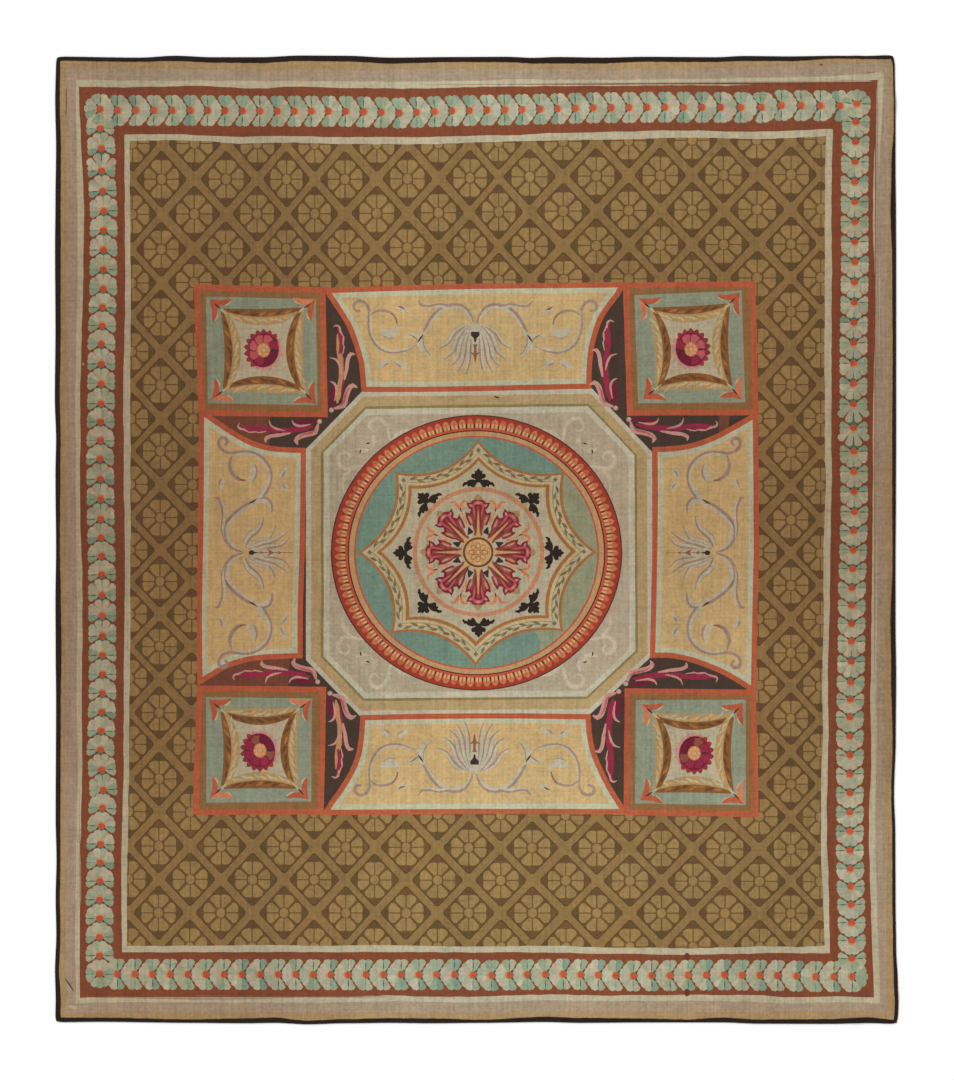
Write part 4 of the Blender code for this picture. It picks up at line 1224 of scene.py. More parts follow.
RIGHT_STRIPES = [Stripes(*row) for row in (
    (80, 889.5, 883.7, 877.4, 833.5, 826.5), (110, 890.0, 882.4, 876.4, 833.2, 826.3), (140, 889.5, 880.5, 875.1, 832.4, 825.6),
    (167, 888.8, 879.2, 873.8, 831.8, 825.3), (200, 888.1, 878.2, 872.9, 831.3, 824.7), (229, 888.0, 878.2, 872.9, 831.3, 824.8),
    (265, 888.0, 879.4, 874.4, 831.9, 824.9), (300, 888.0, 880.2, 875.1, 831.5, 824.5), (354, 888.0, 879.4, 874.3, 831.3, 824.4),
    (408, 888.0, 877.8, 872.9, 831.3, 824.8), (456, 887.0, 877.5, 872.7, 831.4, 824.6), (480, 886.5, 877.5, 872.8, 831.8, 826.0),
    (536, 886.8, 877.2, 872.3, 830.4, 823.8), (572, 887.0, 877.0, 871.9, 829.9, 823.3), (616, 885.4, 876.8, 871.4, 829.7, 823.8),
    (661, 884.0, 876.5, 870.9, 827.9, 822.6), (698, 883.6, 876.4, 870.3, 827.9, 822.0), (736, 884.3, 876.6, 871.1, 828.3, 822.8),
    (771, 884.8, 876.2, 871.0, 827.8, 821.1), (805, 884.2, 875.6, 869.0, 826.5, 821.1), (848, 884.4, 875.6, 869.0, 827.0, 820.7),
    (870, 886.0, 876.0, 869.7, 828.2, 822.0), (923, 885.4, 877.3, 871.2, 829.3, 823.8), (952, 886.2, 878.6, 872.3, 829.8, 824.7),
    (996, 886.6, 880.0, 873.7, 829.7, 824.7))]


def stripe_end(table, column, along):
    return float(np.interp(along, [row.along for row in table], [getattr(row, column) for row in table]))


def stripe_corner(level, upright, column):
    """Where the same stripe of two sides meets."""
    x, y = getattr(upright[len(upright) // 2], column), getattr(level[len(level) // 2], column)
    for _ in range(3):
        x, y = stripe_end(upright, column, y), stripe_end(level, column, x)
    return x, y


print("stripes of four sides,", sum(map(len, (TOP_STRIPES, BOTTOM_STRIPES, LEFT_STRIPES, RIGHT_STRIPES))), "rows")

# %% [markdown]
# A woven line is never ruler-straight, because it steps from warp to warp. Each stripe's end is cut in
# short runs with a wobble of a third of a pixel. Both stripes that meet there use the same points.

# %% The four runs of one stripe's end, clockwise
WOBBLE, RUN = 0.33, 9.0


def stripe_loop(column):
    """The end of one stripe as (top, right, bottom, left) runs, clockwise, corners in both."""
    top_left = stripe_corner(TOP_STRIPES, LEFT_STRIPES, column)
    top_right = stripe_corner(TOP_STRIPES, RIGHT_STRIPES, column)
    bottom_right = stripe_corner(BOTTOM_STRIPES, RIGHT_STRIPES, column)
    bottom_left = stripe_corner(BOTTOM_STRIPES, LEFT_STRIPES, column)
    runs = []
    for start, end, table, upright in (
            (top_left, top_right, TOP_STRIPES, False), (top_right, bottom_right, RIGHT_STRIPES, True),
            (bottom_right, bottom_left, BOTTOM_STRIPES, False), (bottom_left, top_left, LEFT_STRIPES, True)):
        a, b = (start[1], end[1]) if upright else (start[0], end[0])
        count = max(2, round(abs(b - a) / RUN))
        run = [start]
        for k in range(1, count):
            along = a + (b - a) * k / count
            across = stripe_end(table, column, along) + loom.chance.uniform(-WOBBLE, WOBBLE)
            run.append((across, along) if upright else (along, across))
        runs.append(run + [end])
    return runs


side_count = [len(edge_places(CUT_WIDTH, CUT_LENGTH, False, 1, True)),
              len(edge_places(CUT_LENGTH, CUT_WIDTH, True, 1, False))]
edge_runs, start = [], 0
for number in range(4):
    stop = start + side_count[number % 2]
    edge_runs.append((cut_edge + cut_edge[:1])[start:stop + 1])
    start = stop
outer = edge_runs
for column, yarn in (("tan", "tan"), ("pink", "dust pink"), ("cream", "cream"), ("rust", "rust"), ("ivory", "cream")):
    inner = stripe_loop(column)
    for outside, inside in zip(outer, inner):
        loom.weave(outside + inside[::-1], yarn, spread=0.01)
    outer = inner
print("border stripes laid")

# %% [markdown]
# ## The flower chain
#
# One chain of daisies runs round the rug clockwise. Each has two petals that point outward, two inward and
# a fan that points ahead and covers the back of the next flower. The knots say where some of the
# flowers sit, and the others are spread evenly between them, because the weavers kept the count.

# %% Where the flowers sit
Knot = namedtuple("Knot", "flower x y")

TOP_CHAIN = [Knot(*row) for row in (
    (0, 99.9, 109.4), (1, 117.7, 110.6), (5, 190.4, 110.5), (10, 277.4, 111.3), (14, 345.8, 111.5), (17, 399.3, 113.2),
    (20, 452.2, 110.9), (24, 522.2, 109.7), (28, 593.3, 107.9), (32, 665.1, 107.3), (35, 720.6, 107.5),
    (37, 761.4, 107.5), (38, 781.6, 105.5), (41, 839.9, 106.0), (42, 856.7, 103.8))]
RIGHT_CHAIN = [Knot(*row) for row in (
    (0, 856.7, 103.8), (1, 855.8, 121.9), (4, 854.5, 182.0), (8, 854.8, 262.0), (12, 853.4, 343.0), (15, 853.3, 404.3),
    (17, 853.6, 451.6), (20, 854.2, 512.0), (24, 851.9, 588.0), (27, 851.4, 641.4), (29, 850.6, 682.0), (31, 849.8, 717.3),
    (35, 849.8, 793.0), (38, 849.7, 850.5), (42, 851.5, 922.7), (45, 852.1, 976.5))]
BOTTOM_CHAIN = [Knot(*row) for row in (
    (0, 852.1, 976.5), (2, 815.4, 976.5), (4, 777.5, 975.5), (7, 724.3, 974.8), (12, 633.3, 975.8), (16, 562.9, 974.0),
    (20, 491.5, 975.3), (22, 454.3, 974.4), (27, 365.6, 974.8), (32, 278.3, 974.4), (37, 187.7, 974.4), (42, 99.7, 973.9))]
LEFT_CHAIN = [Knot(*row) for row in (
    (0, 99.7, 973.9), (4, 99.7, 899.6), (7, 100.6, 844.0), (10, 103.3, 789.8), (12, 100.6, 749.6), (15, 102.5, 693.2),
    (18, 102.4, 636.0), (21, 102.0, 574.5), (24, 100.8, 519.0), (27, 100.2, 459.0), (30, 101.1, 403.4), (33, 101.5, 344.1),
    (36, 103.3, 289.0), (40, 103.8, 211.1), (42, 101.6, 170.9), (43, 101.4, 148.5), (44, 100.2, 128.4), (45, 99.9, 109.4))]


def flowers_of(chain):
    """(x, y, heading, pitch) of every flower of one side but the last, which starts the next side."""
    count = chain[-1].flower
    numbers = [knot.flower for knot in chain]
    places = [(float(np.interp(k, numbers, [knot.x for knot in chain])),
               float(np.interp(k, numbers, [knot.y for knot in chain]))) for k in range(count + 1)]
    rows = []
    for here, after in zip(places, places[1:]):
        rows.append((*here, math.atan2(after[1] - here[1], after[0] - here[0]), math.dist(here, after)))
    return rows


flowers = [row for chain in (TOP_CHAIN, RIGHT_CHAIN, BOTTOM_CHAIN, LEFT_CHAIN) for row in flowers_of(chain)]
print(len(flowers), "flowers")

# %% [markdown]
# In a Spot that heads along the chain, ahead is x and inward is y. All fans are laid first, then the
# petals that cross the chain, and the hearts last. The dark dashes behind a heart are where one
# flower passes under the fan of the flower before.

# %% Daisies
def round_petal(spot, angle, near, far, width):
    """A petal with a narrow foot and a round end, at an angle in its flower."""
    cos, sin = math.cos(angle), math.sin(angle)
    shape = ((near, -0.20), (far * 0.60, -0.35), (far * 0.85, -0.50), (far * 0.98, -0.24),
             (far * 0.98, 0.24), (far * 0.85, 0.50), (far * 0.60, 0.35), (near, 0.20))
    return [spot.at(r * cos - w * width * sin, r * sin + w * width * cos) for r, w in shape]


def bent_petal(flower, degrees, far, width, yarns, spread=0.05):
    """One petal of a flower in a yarn picked from a few."""
    spot, broad, _ = flower
    outline = round_petal(spot, math.radians(degrees), 3.4, far * broad, width * broad)
    loom.weave(outline, loom.chance.choice(yarns), spread)


FAN_YARNS = ("celadon", "celadon", "celadon pink", "pale celadon", "pale celadon")
FRONT_YARNS = ("celadon", "pale celadon", "celadon green")
BACK_YARNS = ("celadon green", "celadon green", "teal pale", "celadon")
FAN_ANGLES = (-52, 52, -17.5, 17.5)
BED_HALF_WIDTH = 7.0
FAN_REACH = 0.81
LEVEL_BROAD, UPRIGHT_BROAD = 1.03, 0.93

spots = []
for x, y, heading, pitch in flowers:
    upright = abs(math.sin(heading)) > 0.7
    spots.append((Spot(x, y, heading), UPRIGHT_BROAD if upright else LEVEL_BROAD, pitch))
bed = [(x, y) for x, y, *_ in flowers]
for first, stop in zip(range(0, len(bed), 8), [*range(8, len(bed), 8), len(bed)]):
    run = [bed[k % len(bed)] for k in range(first, stop + 1)]
    loom.weave(ribbon(run, (2 * BED_HALF_WIDTH,)), "teal line", 0.06)
corner_flowers = [k for k, (x, y, *_) in enumerate(flowers)
                  if min(abs(x - 99.9), abs(x - 856)) < 5 and min(abs(y - 107), abs(y - 975)) < 6]
for number in corner_flowers:
    for degrees in (-150, 180, 150, -116, -218):
        bent_petal(spots[number], degrees, 15.6, 7.6, BACK_YARNS)
for flower in spots:
    for degrees in FAN_ANGLES:
        bent_petal(flower, degrees, FAN_REACH * flower[2] / flower[1], 8.6, FAN_YARNS)
for flower in spots:
    for side in (-1, 1):
        bent_petal(flower, side * 105, 15.6, 7.8, BACK_YARNS, 0.07)
        bent_petal(flower, side * 75, 15.6, 7.8, FRONT_YARNS, 0.05)
        gap = leaf(flower[0].at(0, side * 3), flower[0].at(-0.4, side * 14.8 * flower[1]), 1.5, 0.0, 2)
        loom.weave(gap, loom.chance.choice(("teal", "teal line")), 0.12)
for spot, broad, _ in spots:
    for side in (-1, 1):
        loom.weave(spot.all([(-2.6, side * 2.4), (-4.4, side * 4.6), (-3.2, side * 5.2), (-1.2, side * 3.4)]),
                   "daisy ink", 0.15)
    loom.weave(spot.all(ellipse(0.9, 0, 3.9, 4.2, 9)), "heart rim", 0.06)
    loom.weave(spot.all(ellipse(-0.3, 0, 3.3, 3.9, 9)), "daisy heart", 0.10)
print(len(corner_flowers), "corner flowers,", len(loom.points), "points after the daisies")

# %% [markdown]
# ## Repairs, marks and painted crease shade
#
# An old rug has small marks of its own: a darker patch where the rust band was rewoven, a slit, and a
# few places where pink dye has stayed stronger. Two thin dark lines along the creases at the left
# corners are painted shade. Each is a small shape laid over the rest.

# %% Repairs, marks and painted crease shade
Mark = namedtuple("Mark", "x y turned long wide yarn")
# The rows at (69.6, 984.4) and (66.4, 102) are painted shade: thin dark lines along the creases at the lower and upper
# left corners
MARKS_AND_PAINTED_SHADE = [Mark(*row) for row in (
    (687, 956.6, 90, 8, 6, "rust shade"), (687, 992.4, 90, 8, 6, "rust shade"), (83.4, 364, 0, 2.0, 1.8, "peach"),
    (73, 1007, 10, 9, 3.4, "celadon pink"), (86, 1006, 0, 5, 2.6, "celadon pink"), (69.6, 984.4, 56, 17, 1.5, "rust shade"),
    (821, 65, 0, 3.2, 2.4, "field"), (66.4, 102, 91, 30, 1.1, "field"), (496.7, 397.3, 18, 5.4, 1.7, "ink"))]
for mark in MARKS_AND_PAINTED_SHADE:
    spot = Spot(mark.x, mark.y, math.radians(mark.turned))
    loom.weave(spot.all(ellipse(0, 0, mark.long / 2, mark.wide / 2, 8)), mark.yarn, 0.05)
print(len(MARKS_AND_PAINTED_SHADE), "marks")

# %% [markdown]
# ## Cutting the cloth
#
# The drawing becomes the cloth's upper face. A sparse net of spare points lets the mesh bend over the
# creases, and is closer at the corners and along the edge. The lower face carries only the broad zones
# of the design, since that is all that a lining-free back shows from a distance, and a narrow rim
# joins the two.

# %% Spare points for relief
def spare_points(coarse, fine):
    """A net on the true rectangle, fine near the border's creases, in picture pixels."""
    points = []
    reach_x, reach_y = HALF_WIDTH - LIP_REACH, HALF_LENGTH - LIP_REACH

    def net(low_x, high_x, low_y, high_y, step):
        for i in range(math.ceil((high_x - low_x) / step) + 1):
            for j in range(math.ceil((high_y - low_y) / step) + 1):
                x, y = low_x + i * step, low_y + j * step
                if x <= high_x and y <= high_y:
                    points.append((x + (0.31 * step if j % 2 else 0), y))

    net(-1.72, 1.70, -2.02, 2.02, coarse)
    for low_x, high_x, low_y, high_y in ((1.50, 1.985, 1.80, 2.28), (-1.985, -1.72, -2.28, -1.96),
                                         (-1.985, -1.90, 1.90, 2.27), (1.60, 1.985, -2.28, -2.05)):
        net(low_x, high_x, low_y, high_y, fine)
    for k in range(-90, 91):
        for inset in (0.036, 0.052, 0.070):
            points.append((HALF_WIDTH * k / 92, HALF_LENGTH - inset))
            points.append((HALF_WIDTH * k / 92, inset - HALF_LENGTH))
            points.append((HALF_WIDTH - inset, HALF_LENGTH * k / 92))
            points.append((inset - HALF_WIDTH, HALF_LENGTH * k / 92))
    return [to_picture(*laid(x, y, 0)[:2]) for x, y in points]


def face_mesh(source, spares, upper):
    """(places in metres, triangles, colours, map of outline points) of one face of the cloth."""
    found, triangles, colours, became = source.cut(spares)
    places = []
    for point in found:
        x, y = to_floor(point.x, point.y)
        true_x, true_y = unlaid(x, y)
        height = lower_face(true_x, true_y) + lift_at(true_x, true_y) + swell(true_x, true_y)
        places.append((x, y, height + (CLOTH_THICKNESS if upper else 0.0)))
    return places, triangles, colours, became


upper = face_mesh(loom, spare_points(0.11, 0.012), True)
print("upper face", len(upper[0]), "points,", len(upper[1]), "triangles")

# %% The broad zones of the back
back = Loom(seed=11)
back.weave(cut_edge, "dust pink", spread=0)
back.weave([(79, 87), (876, 82), (873, 996), (80, 997)], "rust")
back.weave([(124, 135), (832, 130), (829, 952), (122, 952)], "cream")
back.weave([(130, 141), (826, 138), (824, 946), (127, 946)], "lattice")
back.weave([(194, 286), (757, 281), (757, 814), (194, 815)], "gold")
back.weave(ellipse(476.5, 552.7, 145, 138, 48), "turquoise")
lower = face_mesh(back, spare_points(0.22, 0.030), False)
print("lower face", len(lower[1]), "triangles")


# %% One closed piece of cloth
def join_faces(name, upper, lower, edge_count):
    """Both faces and the cut edge between them as one object with a yarn colour on each corner."""
    (over, over_faces, over_colours, over_map), (under, under_faces, under_colours, under_map) = upper, lower
    first_under = len(over)
    faces = [tuple(f) for f in over_faces]
    colours = [c for c in over_colours]
    # The picture's y runs down, so the triangles of the upper face turn over on their way to the floor
    faces = [f[::-1] for f in faces]
    for face, colour in zip(under_faces, under_colours):
        faces.append(tuple(first_under + k for k in face))
        colours.append(colour)
    edge_colour = np.array([linear(c) for c in YARNS["tan"]])
    # Weaving may have turned an outline round, so the edge is read from what was laid
    order = loom.shapes[0][0]
    for here, after in zip(order, order[1:] + order[:1]):
        ring = (over_map[here], over_map[after], first_under + under_map[after], first_under + under_map[here])
        faces.append(ring)
        colours.append(edge_colour)
    mesh = bpy.data.meshes.new(name)
    mesh.from_pydata([*over, *under], [], faces)
    layer = mesh.color_attributes.new("yarn", "FLOAT_COLOR", "CORNER")
    loops = np.concatenate([np.tile((*c, 1.0), len(f)) for c, f in zip(colours, faces)])
    layer.data.foreach_set("color", loops.astype(np.float32))
    piece = bpy.data.objects.new(name, mesh)
    bpy.context.scene.collection.objects.link(piece)
    shape = bmesh.new()
    shape.from_mesh(mesh)
    bmesh.ops.recalc_face_normals(shape, faces=shape.faces)
    open_edges = sum(1 for edge in shape.edges if len(edge.link_faces) != 2)
    shape.to_mesh(mesh)
    shape.free()
    print(name, len(faces), "faces,", open_edges, "open edges")
    return piece


rug = join_faces("tapestry_cloth", upper, lower, len(cut_edge))

# %% [markdown]
# ## Shader arithmetic
#
# Node setups read best as arithmetic. A Signal wraps one output socket, and plus, minus, times and divide
# add the Math node that does it. Anything else, from a noise to the shader itself, comes from one
# method that sets the node's own options first and then its sockets.

# %% Signals and finishes
class Signal:
    """One value socket in a material, for use in expressions."""

    def __init__(self, finish, socket):
        self.finish, self.socket = finish, socket

    def _with(self, operation, first, second):
        return self.finish.node("ShaderNodeMath", {"operation": operation}, {0: first, 1: second}).out(0)

    def __add__(self, other):
        return self._with("ADD", self, other)

    def __sub__(self, other):
        return self._with("SUBTRACT", self, other)

    def __rsub__(self, other):
        return self._with("SUBTRACT", other, self)

    def __mul__(self, other):
        return self._with("MULTIPLY", self, other)

    def __truediv__(self, other):
        return self._with("DIVIDE", self, other)

    __radd__, __rmul__ = __add__, __mul__


class Made:
    """A node that was made, whose outputs can be asked for by name or number."""

    def __init__(self, finish, node):
        self.finish, self.node = finish, node

    def out(self, name=0):
        return Signal(self.finish, self.node.outputs[name])


class Finish:
    """A material that is built up node by node."""

    def __init__(self, name):
        self.material = bpy.data.materials.new(name)
        self.material.use_nodes = True
        self.tree = self.material.node_tree
        self.tree.nodes.clear()

    def node(self, kind, settings=None, sockets=None):
        """A node with its settings first, then the values or links of its sockets."""
        node = self.tree.nodes.new(kind)
        for key, value in (settings or {}).items():
            if key == "stops":
                ramp = node.color_ramp.elements
                while len(ramp) < len(value):
                    ramp.new(1.0)
                for element, (position, colour) in zip(ramp, value):
                    element.position, element.color = position, colour
            else:
                setattr(node, key, value)
        for key, value in (sockets or {}).items():
            if isinstance(value, Signal):
                self.tree.links.new(value.socket, node.inputs[key])
            else:
                node.inputs[key].default_value = value
        return Made(self, node)

    def mix(self, factor, first, second, blend="MIX"):
        """Two colours mixed."""
        sockets = {0: factor, 6: first, 7: second}
        return self.node("ShaderNodeMix", {"data_type": "RGBA", "blend_type": blend}, sockets).out(2)

    def noise(self, where, scale, detail=2.0, roughness=0.5):
        """A soft noise from 0 to 1 round 0.5."""
        sockets = {"Vector": where, "Scale": scale, "Detail": detail, "Roughness": roughness}
        return self.node("ShaderNodeTexNoise", {}, sockets).out(0)

    def stretched(self, where, x, y, z=1.0):
        """The same coordinates, scaled apart along each axis."""
        return self.node("ShaderNodeVectorMath", {"operation": "MULTIPLY"}, {0: where, 1: (x, y, z)}).out(0)

    def ramp(self, value, stops):
        """A colour for each value, eased through the stops."""
        made = self.node("ShaderNodeValToRGB", {"stops": stops}, {0: value})
        made.node.color_ramp.interpolation = "CARDINAL"
        return made.out(0)

    def grey(self, value):
        """A value as a grey colour, through a Combine node, for use in colour mixes."""
        return self.node("ShaderNodeCombineColor", {}, {0: value, 1: value, 2: value}).out(0)

    def finish(self, shader):
        self.node("ShaderNodeOutputMaterial", {}, {"Surface": shader})
        return self.material


print("signals ready")

# %% [markdown]
# ## The wool
#
# Hand-dyed wool is uneven in several ways at once: whole bands drift as one dye lot ends, single weft
# passes are lighter or darker, and the fibres mottle at the scale of a few threads. Each is a noise
# stretched in its own way, and all multiply the yarn's own colour. Two broad ramps over the whole rug
# multiply it as well. They are painted shade of uneven light: darker and warmer toward the sides, most
# on the left, and across the middle of the length, and lighter toward both ends. The ribs of the weave
# are a few millimetres apart and go into the bump.

# %% Wool finish
RIB_PITCH = 0.004
# Painted shade and light of uneven lighting: a factor on the yarn's colour across and along the rug, darker at the
# sides and in the middle, lighter toward the ends
PAINTED_SHADE_ACROSS = ((0.07, 0.80), (0.18, 0.82), (0.30, 0.88), (0.40, 1.0), (0.60, 1.0), (0.75, 0.93), (0.93, 0.90))
PAINTED_SHADE_ALONG = ((0.03, 1.13), (0.16, 1.07), (0.27, 0.89), (0.38, 0.84), (0.50, 0.75), (0.62, 0.79), (0.74, 0.83),
              (0.84, 0.90), (0.97, 1.0))


def painted_shade_colour(share):
    """A deeper painted shade is also a warmer one."""
    return (share ** 0.80, share ** 1.12, share ** 1.30, 1.0)


def wool_finish():
    wool = Finish("aged_tapestry_wool")
    yarn = wool.node("ShaderNodeAttribute", {"attribute_name": "yarn"}).out("Color")
    place = wool.node("ShaderNodeTexCoord").out("Object")
    parts = wool.node("ShaderNodeSeparateXYZ", {}, {0: place})
    # across and along are the two ramps of painted shade over the rug
    across = wool.ramp(parts.out(0) / (2 * HALF_WIDTH) + 0.5, [(at, painted_shade_colour(f)) for at, f in PAINTED_SHADE_ACROSS])
    along = wool.ramp(parts.out(1) / (2 * HALF_LENGTH) + 0.5, [(at, painted_shade_colour(f)) for at, f in PAINTED_SHADE_ALONG])
    lots = wool.noise(wool.stretched(place, 2.4, 0.6), 1.0, 3.0)
    passes = wool.noise(wool.stretched(place, 85.0, 3.0), 1.0, 2.0)
    warp_lines = wool.noise(wool.stretched(place, 5.0, 120.0), 1.0, 2.0)
    patches = wool.noise(place, 16.0, 3.0, 0.6)
    mottle = wool.noise(place, 70.0, 3.0, 0.6)
    fibre = wool.noise(place, 420.0, 2.0, 0.6)
    shade = (1 + (lots - 0.5) * 0.40 + (passes - 0.5) * 0.46 + (warp_lines - 0.5) * 0.30 + (patches - 0.5) * 0.44
             + (mottle - 0.5) * 0.66 + (fibre - 0.5) * 0.26)
    warmth = wool.noise(wool.stretched(place, 1.1, 1.6), 1.0, 2.0)
    tint = wool.mix(warmth, (1.05, 1.0, 0.93, 1.0), (0.96, 1.0, 1.05, 1.0))
    blush = wool.noise(place, 26.0, 2.0)
    tint = wool.mix(1.0, tint, wool.mix(blush, (1.10, 0.98, 0.90, 1.0), (0.92, 1.02, 1.08, 1.0)), "MULTIPLY")
    # Both ramps together are painted shade of uneven lighting
    painted_shade = wool.mix(1.0, across, along, "MULTIPLY")
    coloured = wool.mix(1.0, wool.mix(1.0, yarn, painted_shade, "MULTIPLY"), tint, "MULTIPLY")
    coloured = wool.mix(1.0, coloured, wool.grey(shade), "MULTIPLY")
    ribs = wool.node("ShaderNodeTexWave", {"wave_type": "BANDS", "bands_direction": "Y", "wave_profile": "SIN"},
                     {"Vector": place, "Scale": math.tau / (20 * RIB_PITCH), "Distortion": 0.4, "Detail": 1.0}).out(1)
    height = ribs * 0.5 + fibre * 0.5
    bump = wool.node("ShaderNodeBump", {}, {"Strength": 0.35, "Distance": 0.0006, "Height": height}).out(0)
    shader = wool.node("ShaderNodeBsdfPrincipled", {}, {
        "Base Color": coloured, "Roughness": 0.88 + (mottle - 0.5) * 0.10, "Normal": bump,
        "Specular IOR Level": 0.18, "Sheen Weight": 0.06, "Sheen Roughness": 0.6}).out(0)
    return wool.finish(shader)


wool_material = wool_finish()
rug.data.materials.append(wool_material)
print("wool finish", len(wool_material.node_tree.nodes), "nodes")

# %% [markdown]
# ## The edge tape
#
# A plain dark tape, folded over the cut edge and sewn down through the cloth. It is swept along each side
# from the same table as the frame model's tape. Its section is a rounded fold with a thin lip above
# and below, and the upper lip's edge is a little uneven, as a hand-sewn tape is.

# %% The tape's section and sweep
TAPE_THICKNESS, SEAM_GAP = 0.0010, 0.0003
MITRE_GAP = SEAM_GAP * math.sqrt(0.5)
TAPE_STEP = 0.020


def tape_section(band):
    """(distance outward from the edge, height) once round the folded tape."""
    top, fold = EDGE_HEIGHT, 0.0012
    outside = [(-fold * (1 - math.sin(a)), top / 2 - math.cos(a) * top / 2)
               for a in (0.0, 0.5, 1.0, math.pi / 2, math.pi - 1.0, math.pi - 0.5, math.pi)]
    outside = [(-band, 0.0), (-band * 0.5, 0.0)] + outside + [(-band * 0.5, top), (-band, top - 0.0002)]
    inside = [(-band, top - TAPE_THICKNESS), (-TAPE_THICKNESS, top - TAPE_THICKNESS),
              (-TAPE_THICKNESS, TAPE_THICKNESS), (-band, TAPE_THICKNESS)]
    return outside + inside


def swept_tape(name, walk, upright, side, seed):
    """One side's tape, its ends cut to a mitre."""
    half_along = HALF_LENGTH if upright else HALF_WIDTH
    half_across = HALF_WIDTH if upright else HALF_LENGTH
    chance = random.Random(seed)
    count = math.ceil(2 * half_along / TAPE_STEP)
    shape, rings, lip = bmesh.new(), [], []
    for number in range(count + 1):
        along = half_along * (2 * number / count - 1)
        band = read_walk(walk, along, "band_mm") / 1000 + chance.uniform(-0.0009, 0.0009)
        end = -1 if number == 0 else 1 if number == count else 0
        ring = []
        for outward, height in tape_section(band):
            run = end * (half_along + outward - MITRE_GAP) if end else along
            across = side * (half_across + outward)
            ring.append(shape.verts.new(laid(*((across, run) if upright else (run, across)), height)))
        rings.append(ring)
        lip.append((along, band))
    for ring, following in zip(rings, rings[1:]):
        for k in range(len(ring)):
            after = (k + 1) % len(ring)
            shape.faces.new([ring[k], ring[after], following[after], following[k]])
    shape.faces.new(list(reversed(rings[0])))
    shape.faces.new(rings[-1])
    bmesh.ops.recalc_face_normals(shape, faces=shape.faces)
    mesh = bpy.data.meshes.new(name)
    shape.to_mesh(mesh)
    shape.free()
    piece = bpy.data.objects.new(name, mesh)
    bpy.context.scene.collection.objects.link(piece)
    return piece, lip


sides = {"top": (TOP_WALK, False, 1), "bottom": (BOTTOM_WALK, False, -1),
         "left": (LEFT_WALK, True, -1), "right": (RIGHT_WALK, True, 1)}
tapes, lips = {}, {}
for seed, (side_name, (walk, upright, side)) in enumerate(sides.items()):
    tapes[side_name], lips[side_name] = swept_tape(f"sewn_tape_{side_name}", walk, upright, side, seed)
print("tapes", {name: len(tape.data.polygons) for name, tape in tapes.items()})

# %% [markdown]
# The tape is nearly black, drifting in patches to a browner tone that is a shade lighter where hands and
# feet have worn it. A fine mottle runs through its colour and its bump.

# %% Tape finish
def tape_finish():
    tape = Finish("dark_sewn_tape")
    place = tape.node("ShaderNodeTexCoord").out("Object")
    patches = tape.noise(place, 9.0, 3.0)
    mottle = tape.noise(place, 160.0, 2.0, 0.6)
    colour = tape.mix(patches, (0.009, 0.006, 0.005, 1), (0.028, 0.015, 0.010, 1))
    colour = tape.mix(1.0, colour, tape.grey(0.7 + mottle * 0.6), "MULTIPLY")
    bump = tape.node("ShaderNodeBump", {}, {"Strength": 0.4, "Distance": 0.0004, "Height": mottle}).out(0)
    shader = tape.node("ShaderNodeBsdfPrincipled", {}, {
        "Base Color": colour, "Roughness": 0.80 + (patches - 0.5) * 0.1, "Normal": bump,
        "Specular IOR Level": 0.1}).out(0)
    return tape.finish(shader)


tape_material = tape_finish()
for tape in tapes.values():
    tape.data.materials.append(tape_material)

# %% [markdown]
# ## Sewing
#
# The lip is held by small slanted hem stitches. They are hardly seen on the dark tape, but a closer look
# should find them, so each is a short flattened thread that crosses from the tape onto the cloth.

# %% Stitches along the lips
STITCH_PITCH, STITCH_LENGTH, STITCH_WIDTH, STITCH_RISE = 0.016, 0.0052, 0.0011, 0.0006


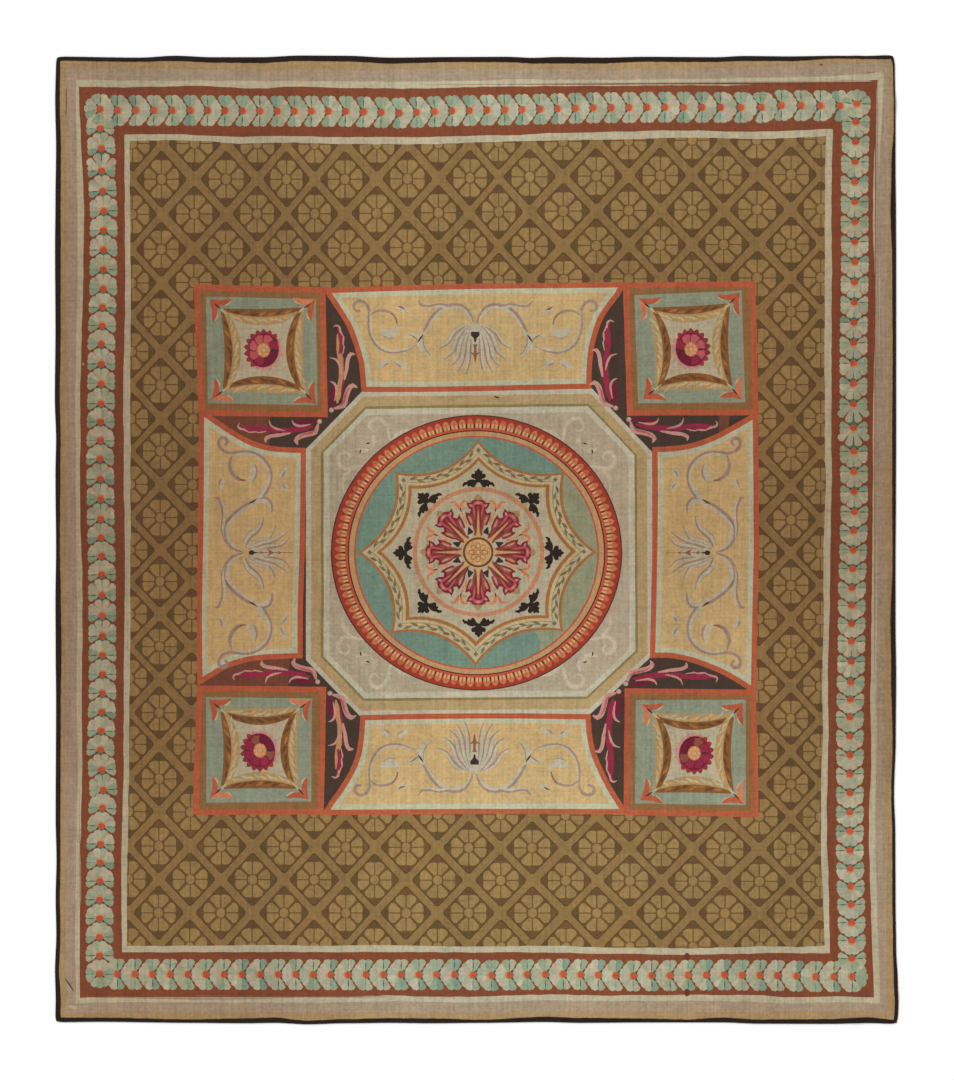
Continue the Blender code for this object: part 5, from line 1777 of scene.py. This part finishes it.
def stitches(name):
    shape, chance, count = bmesh.new(), random.Random(5), 0
    for side_name, (walk, upright, side) in sides.items():
        half_along = (HALF_LENGTH if upright else HALF_WIDTH) - 0.045
        half_across = HALF_WIDTH if upright else HALF_LENGTH
        alongs, bands = zip(*lips[side_name])
        steps = int(2 * half_along / STITCH_PITCH)
        for k in range(steps + 1):
            along = -half_along + 2 * half_along * k / steps + chance.uniform(-0.001, 0.001)
            band = float(np.interp(along, alongs, bands))
            slant = 0.0012 + chance.uniform(-0.0004, 0.0004)
            ends = []
            for outward, run, height in ((-band + STITCH_LENGTH * 0.55, along - slant, EDGE_HEIGHT),
                                         (-band - STITCH_LENGTH * 0.45, along + slant,
                                          EDGE_HEIGHT - CLOTH_INSET)):
                across = side * (half_across + outward)
                ends.append(((across, run) if upright else (run, across), height))
            (start, start_height), (stop, stop_height) = ends
            run_x, run_y = stop[0] - start[0], stop[1] - start[1]
            length = math.hypot(run_x, run_y)
            across_x, across_y = -run_y / length * STITCH_WIDTH / 2, run_x / length * STITCH_WIDTH / 2
            rows = []
            for t, width, rise_over in ((0.0, 0.4, 0.0), (0.35, 1.0, 1.0), (0.70, 1.0, 0.9), (1.0, 0.4, 0.0)):
                x, y = start[0] + run_x * t, start[1] + run_y * t
                height = max(start_height * (1 - t) + stop_height * t, EDGE_HEIGHT if t < 0.55 else 0)
                low = [laid(x + s * across_x * width, y + s * across_y * width, height) for s in (1, -1)]
                crest = laid(x, y, height + STITCH_RISE * rise_over + 0.0001)
                rows.append([shape.verts.new(p) for p in (low[0], crest, low[1])])
            for row, following in zip(rows, rows[1:]):
                for a in (0, 1):
                    shape.faces.new([row[a], row[a + 1], following[a + 1], following[a]])
                shape.faces.new([row[2], row[0], following[0], following[2]])
            shape.faces.new(rows[0])
            shape.faces.new(rows[-1][::-1])
            count += 1
    bmesh.ops.recalc_face_normals(shape, faces=shape.faces)
    mesh = bpy.data.meshes.new(name)
    shape.to_mesh(mesh)
    shape.free()
    piece = bpy.data.objects.new(name, mesh)
    bpy.context.scene.collection.objects.link(piece)
    print(count, "stitches")
    return piece


thread = stitches("hem_stitches")


# %% Thread finish
def thread_finish():
    thread = Finish("brown_hem_thread")
    place = thread.node("ShaderNodeTexCoord").out("Object")
    twist = thread.noise(place, 700.0, 1.0)
    colour = thread.mix(twist, (0.030, 0.018, 0.012, 1), (0.075, 0.045, 0.030, 1))
    shader = thread.node("ShaderNodeBsdfPrincipled", {}, {
        "Base Color": colour, "Roughness": 0.62 + twist * 0.2, "Specular IOR Level": 0.3}).out(0)
    return thread.finish(shader)


thread.data.materials.append(thread_finish())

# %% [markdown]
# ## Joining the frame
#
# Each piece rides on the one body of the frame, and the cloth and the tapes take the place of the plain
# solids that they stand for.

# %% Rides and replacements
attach(rug, "root")
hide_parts("woven_sheet")
for side_name, tape in tapes.items():
    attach(tape, "root")
    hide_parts(f"edge_tape_{side_name}")
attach(thread, "root")

# %% [markdown]
# ## Floor, light and camera
#
# The rug was photographed flat on white from straight above, so the stage is a plain pale floor, a soft
# even sky and one large lamp from the upper left that gives the creases a little shape. The camera
# looks straight down with a long lens, so that the edges keep the proportions of the photograph.

# %% Floor
def floor_finish():
    floor = Finish("plain_pale_floor")
    place = floor.node("ShaderNodeTexCoord").out("Object")
    grain = floor.noise(place, 3.0, 2.0)
    colour = floor.mix(grain, (0.90, 0.90, 0.90, 1), (0.93, 0.93, 0.93, 1))
    return floor.finish(floor.node("ShaderNodeBsdfPrincipled", {}, {
        "Base Color": colour, "Roughness": 0.9, "Specular IOR Level": 0.1}).out(0))


floor_shape = bmesh.new()
bmesh.ops.create_grid(floor_shape, x_segments=8, y_segments=8, size=30.0)
floor_mesh = bpy.data.meshes.new("studio_floor")
floor_shape.to_mesh(floor_mesh)
floor_shape.free()
floor = bpy.data.objects.new("studio_floor", floor_mesh)
floor.location.z = -0.0004
floor_mesh.materials.append(floor_finish())
bpy.context.scene.collection.objects.link(floor)

# %% Light
world = bpy.data.worlds.new("soft_sky")
world.use_nodes = True
world.node_tree.nodes["Background"].inputs["Color"].default_value = (1.0, 1.0, 1.0, 1.0)
world.node_tree.nodes["Background"].inputs["Strength"].default_value = 0.78
bpy.context.scene.world = world

lamp_data = bpy.data.lights.new("soft_sun", "SUN")
lamp_data.angle, lamp_data.energy = math.radians(16), 1.75
lamp = bpy.data.objects.new("soft_sun", lamp_data)
lamp.location = (-5.5, 5.5, 6.0)
lamp.rotation_euler = (-lamp.location).to_track_quat("-Z", "Y").to_euler()
bpy.context.scene.collection.objects.link(lamp)

# %% Camera
LENS, SENSOR = 85.0, 36.0
camera_data = bpy.data.cameras.new("camera")
camera_data.lens, camera_data.sensor_width = LENS, SENSOR
camera = bpy.data.objects.new("camera", camera_data)
middle_x, middle_y = to_floor(954 / 2, 1080 / 2)
camera.location = (middle_x, middle_y, 1080 * METRES_PER_PIXEL * LENS / SENSOR)
camera_data.clip_end = 100.0
bpy.context.scene.collection.objects.link(camera)
bpy.context.scene.camera = camera
bpy.context.scene.view_settings.view_transform = "Standard"
print("camera", [round(c, 3) for c in camera.location])
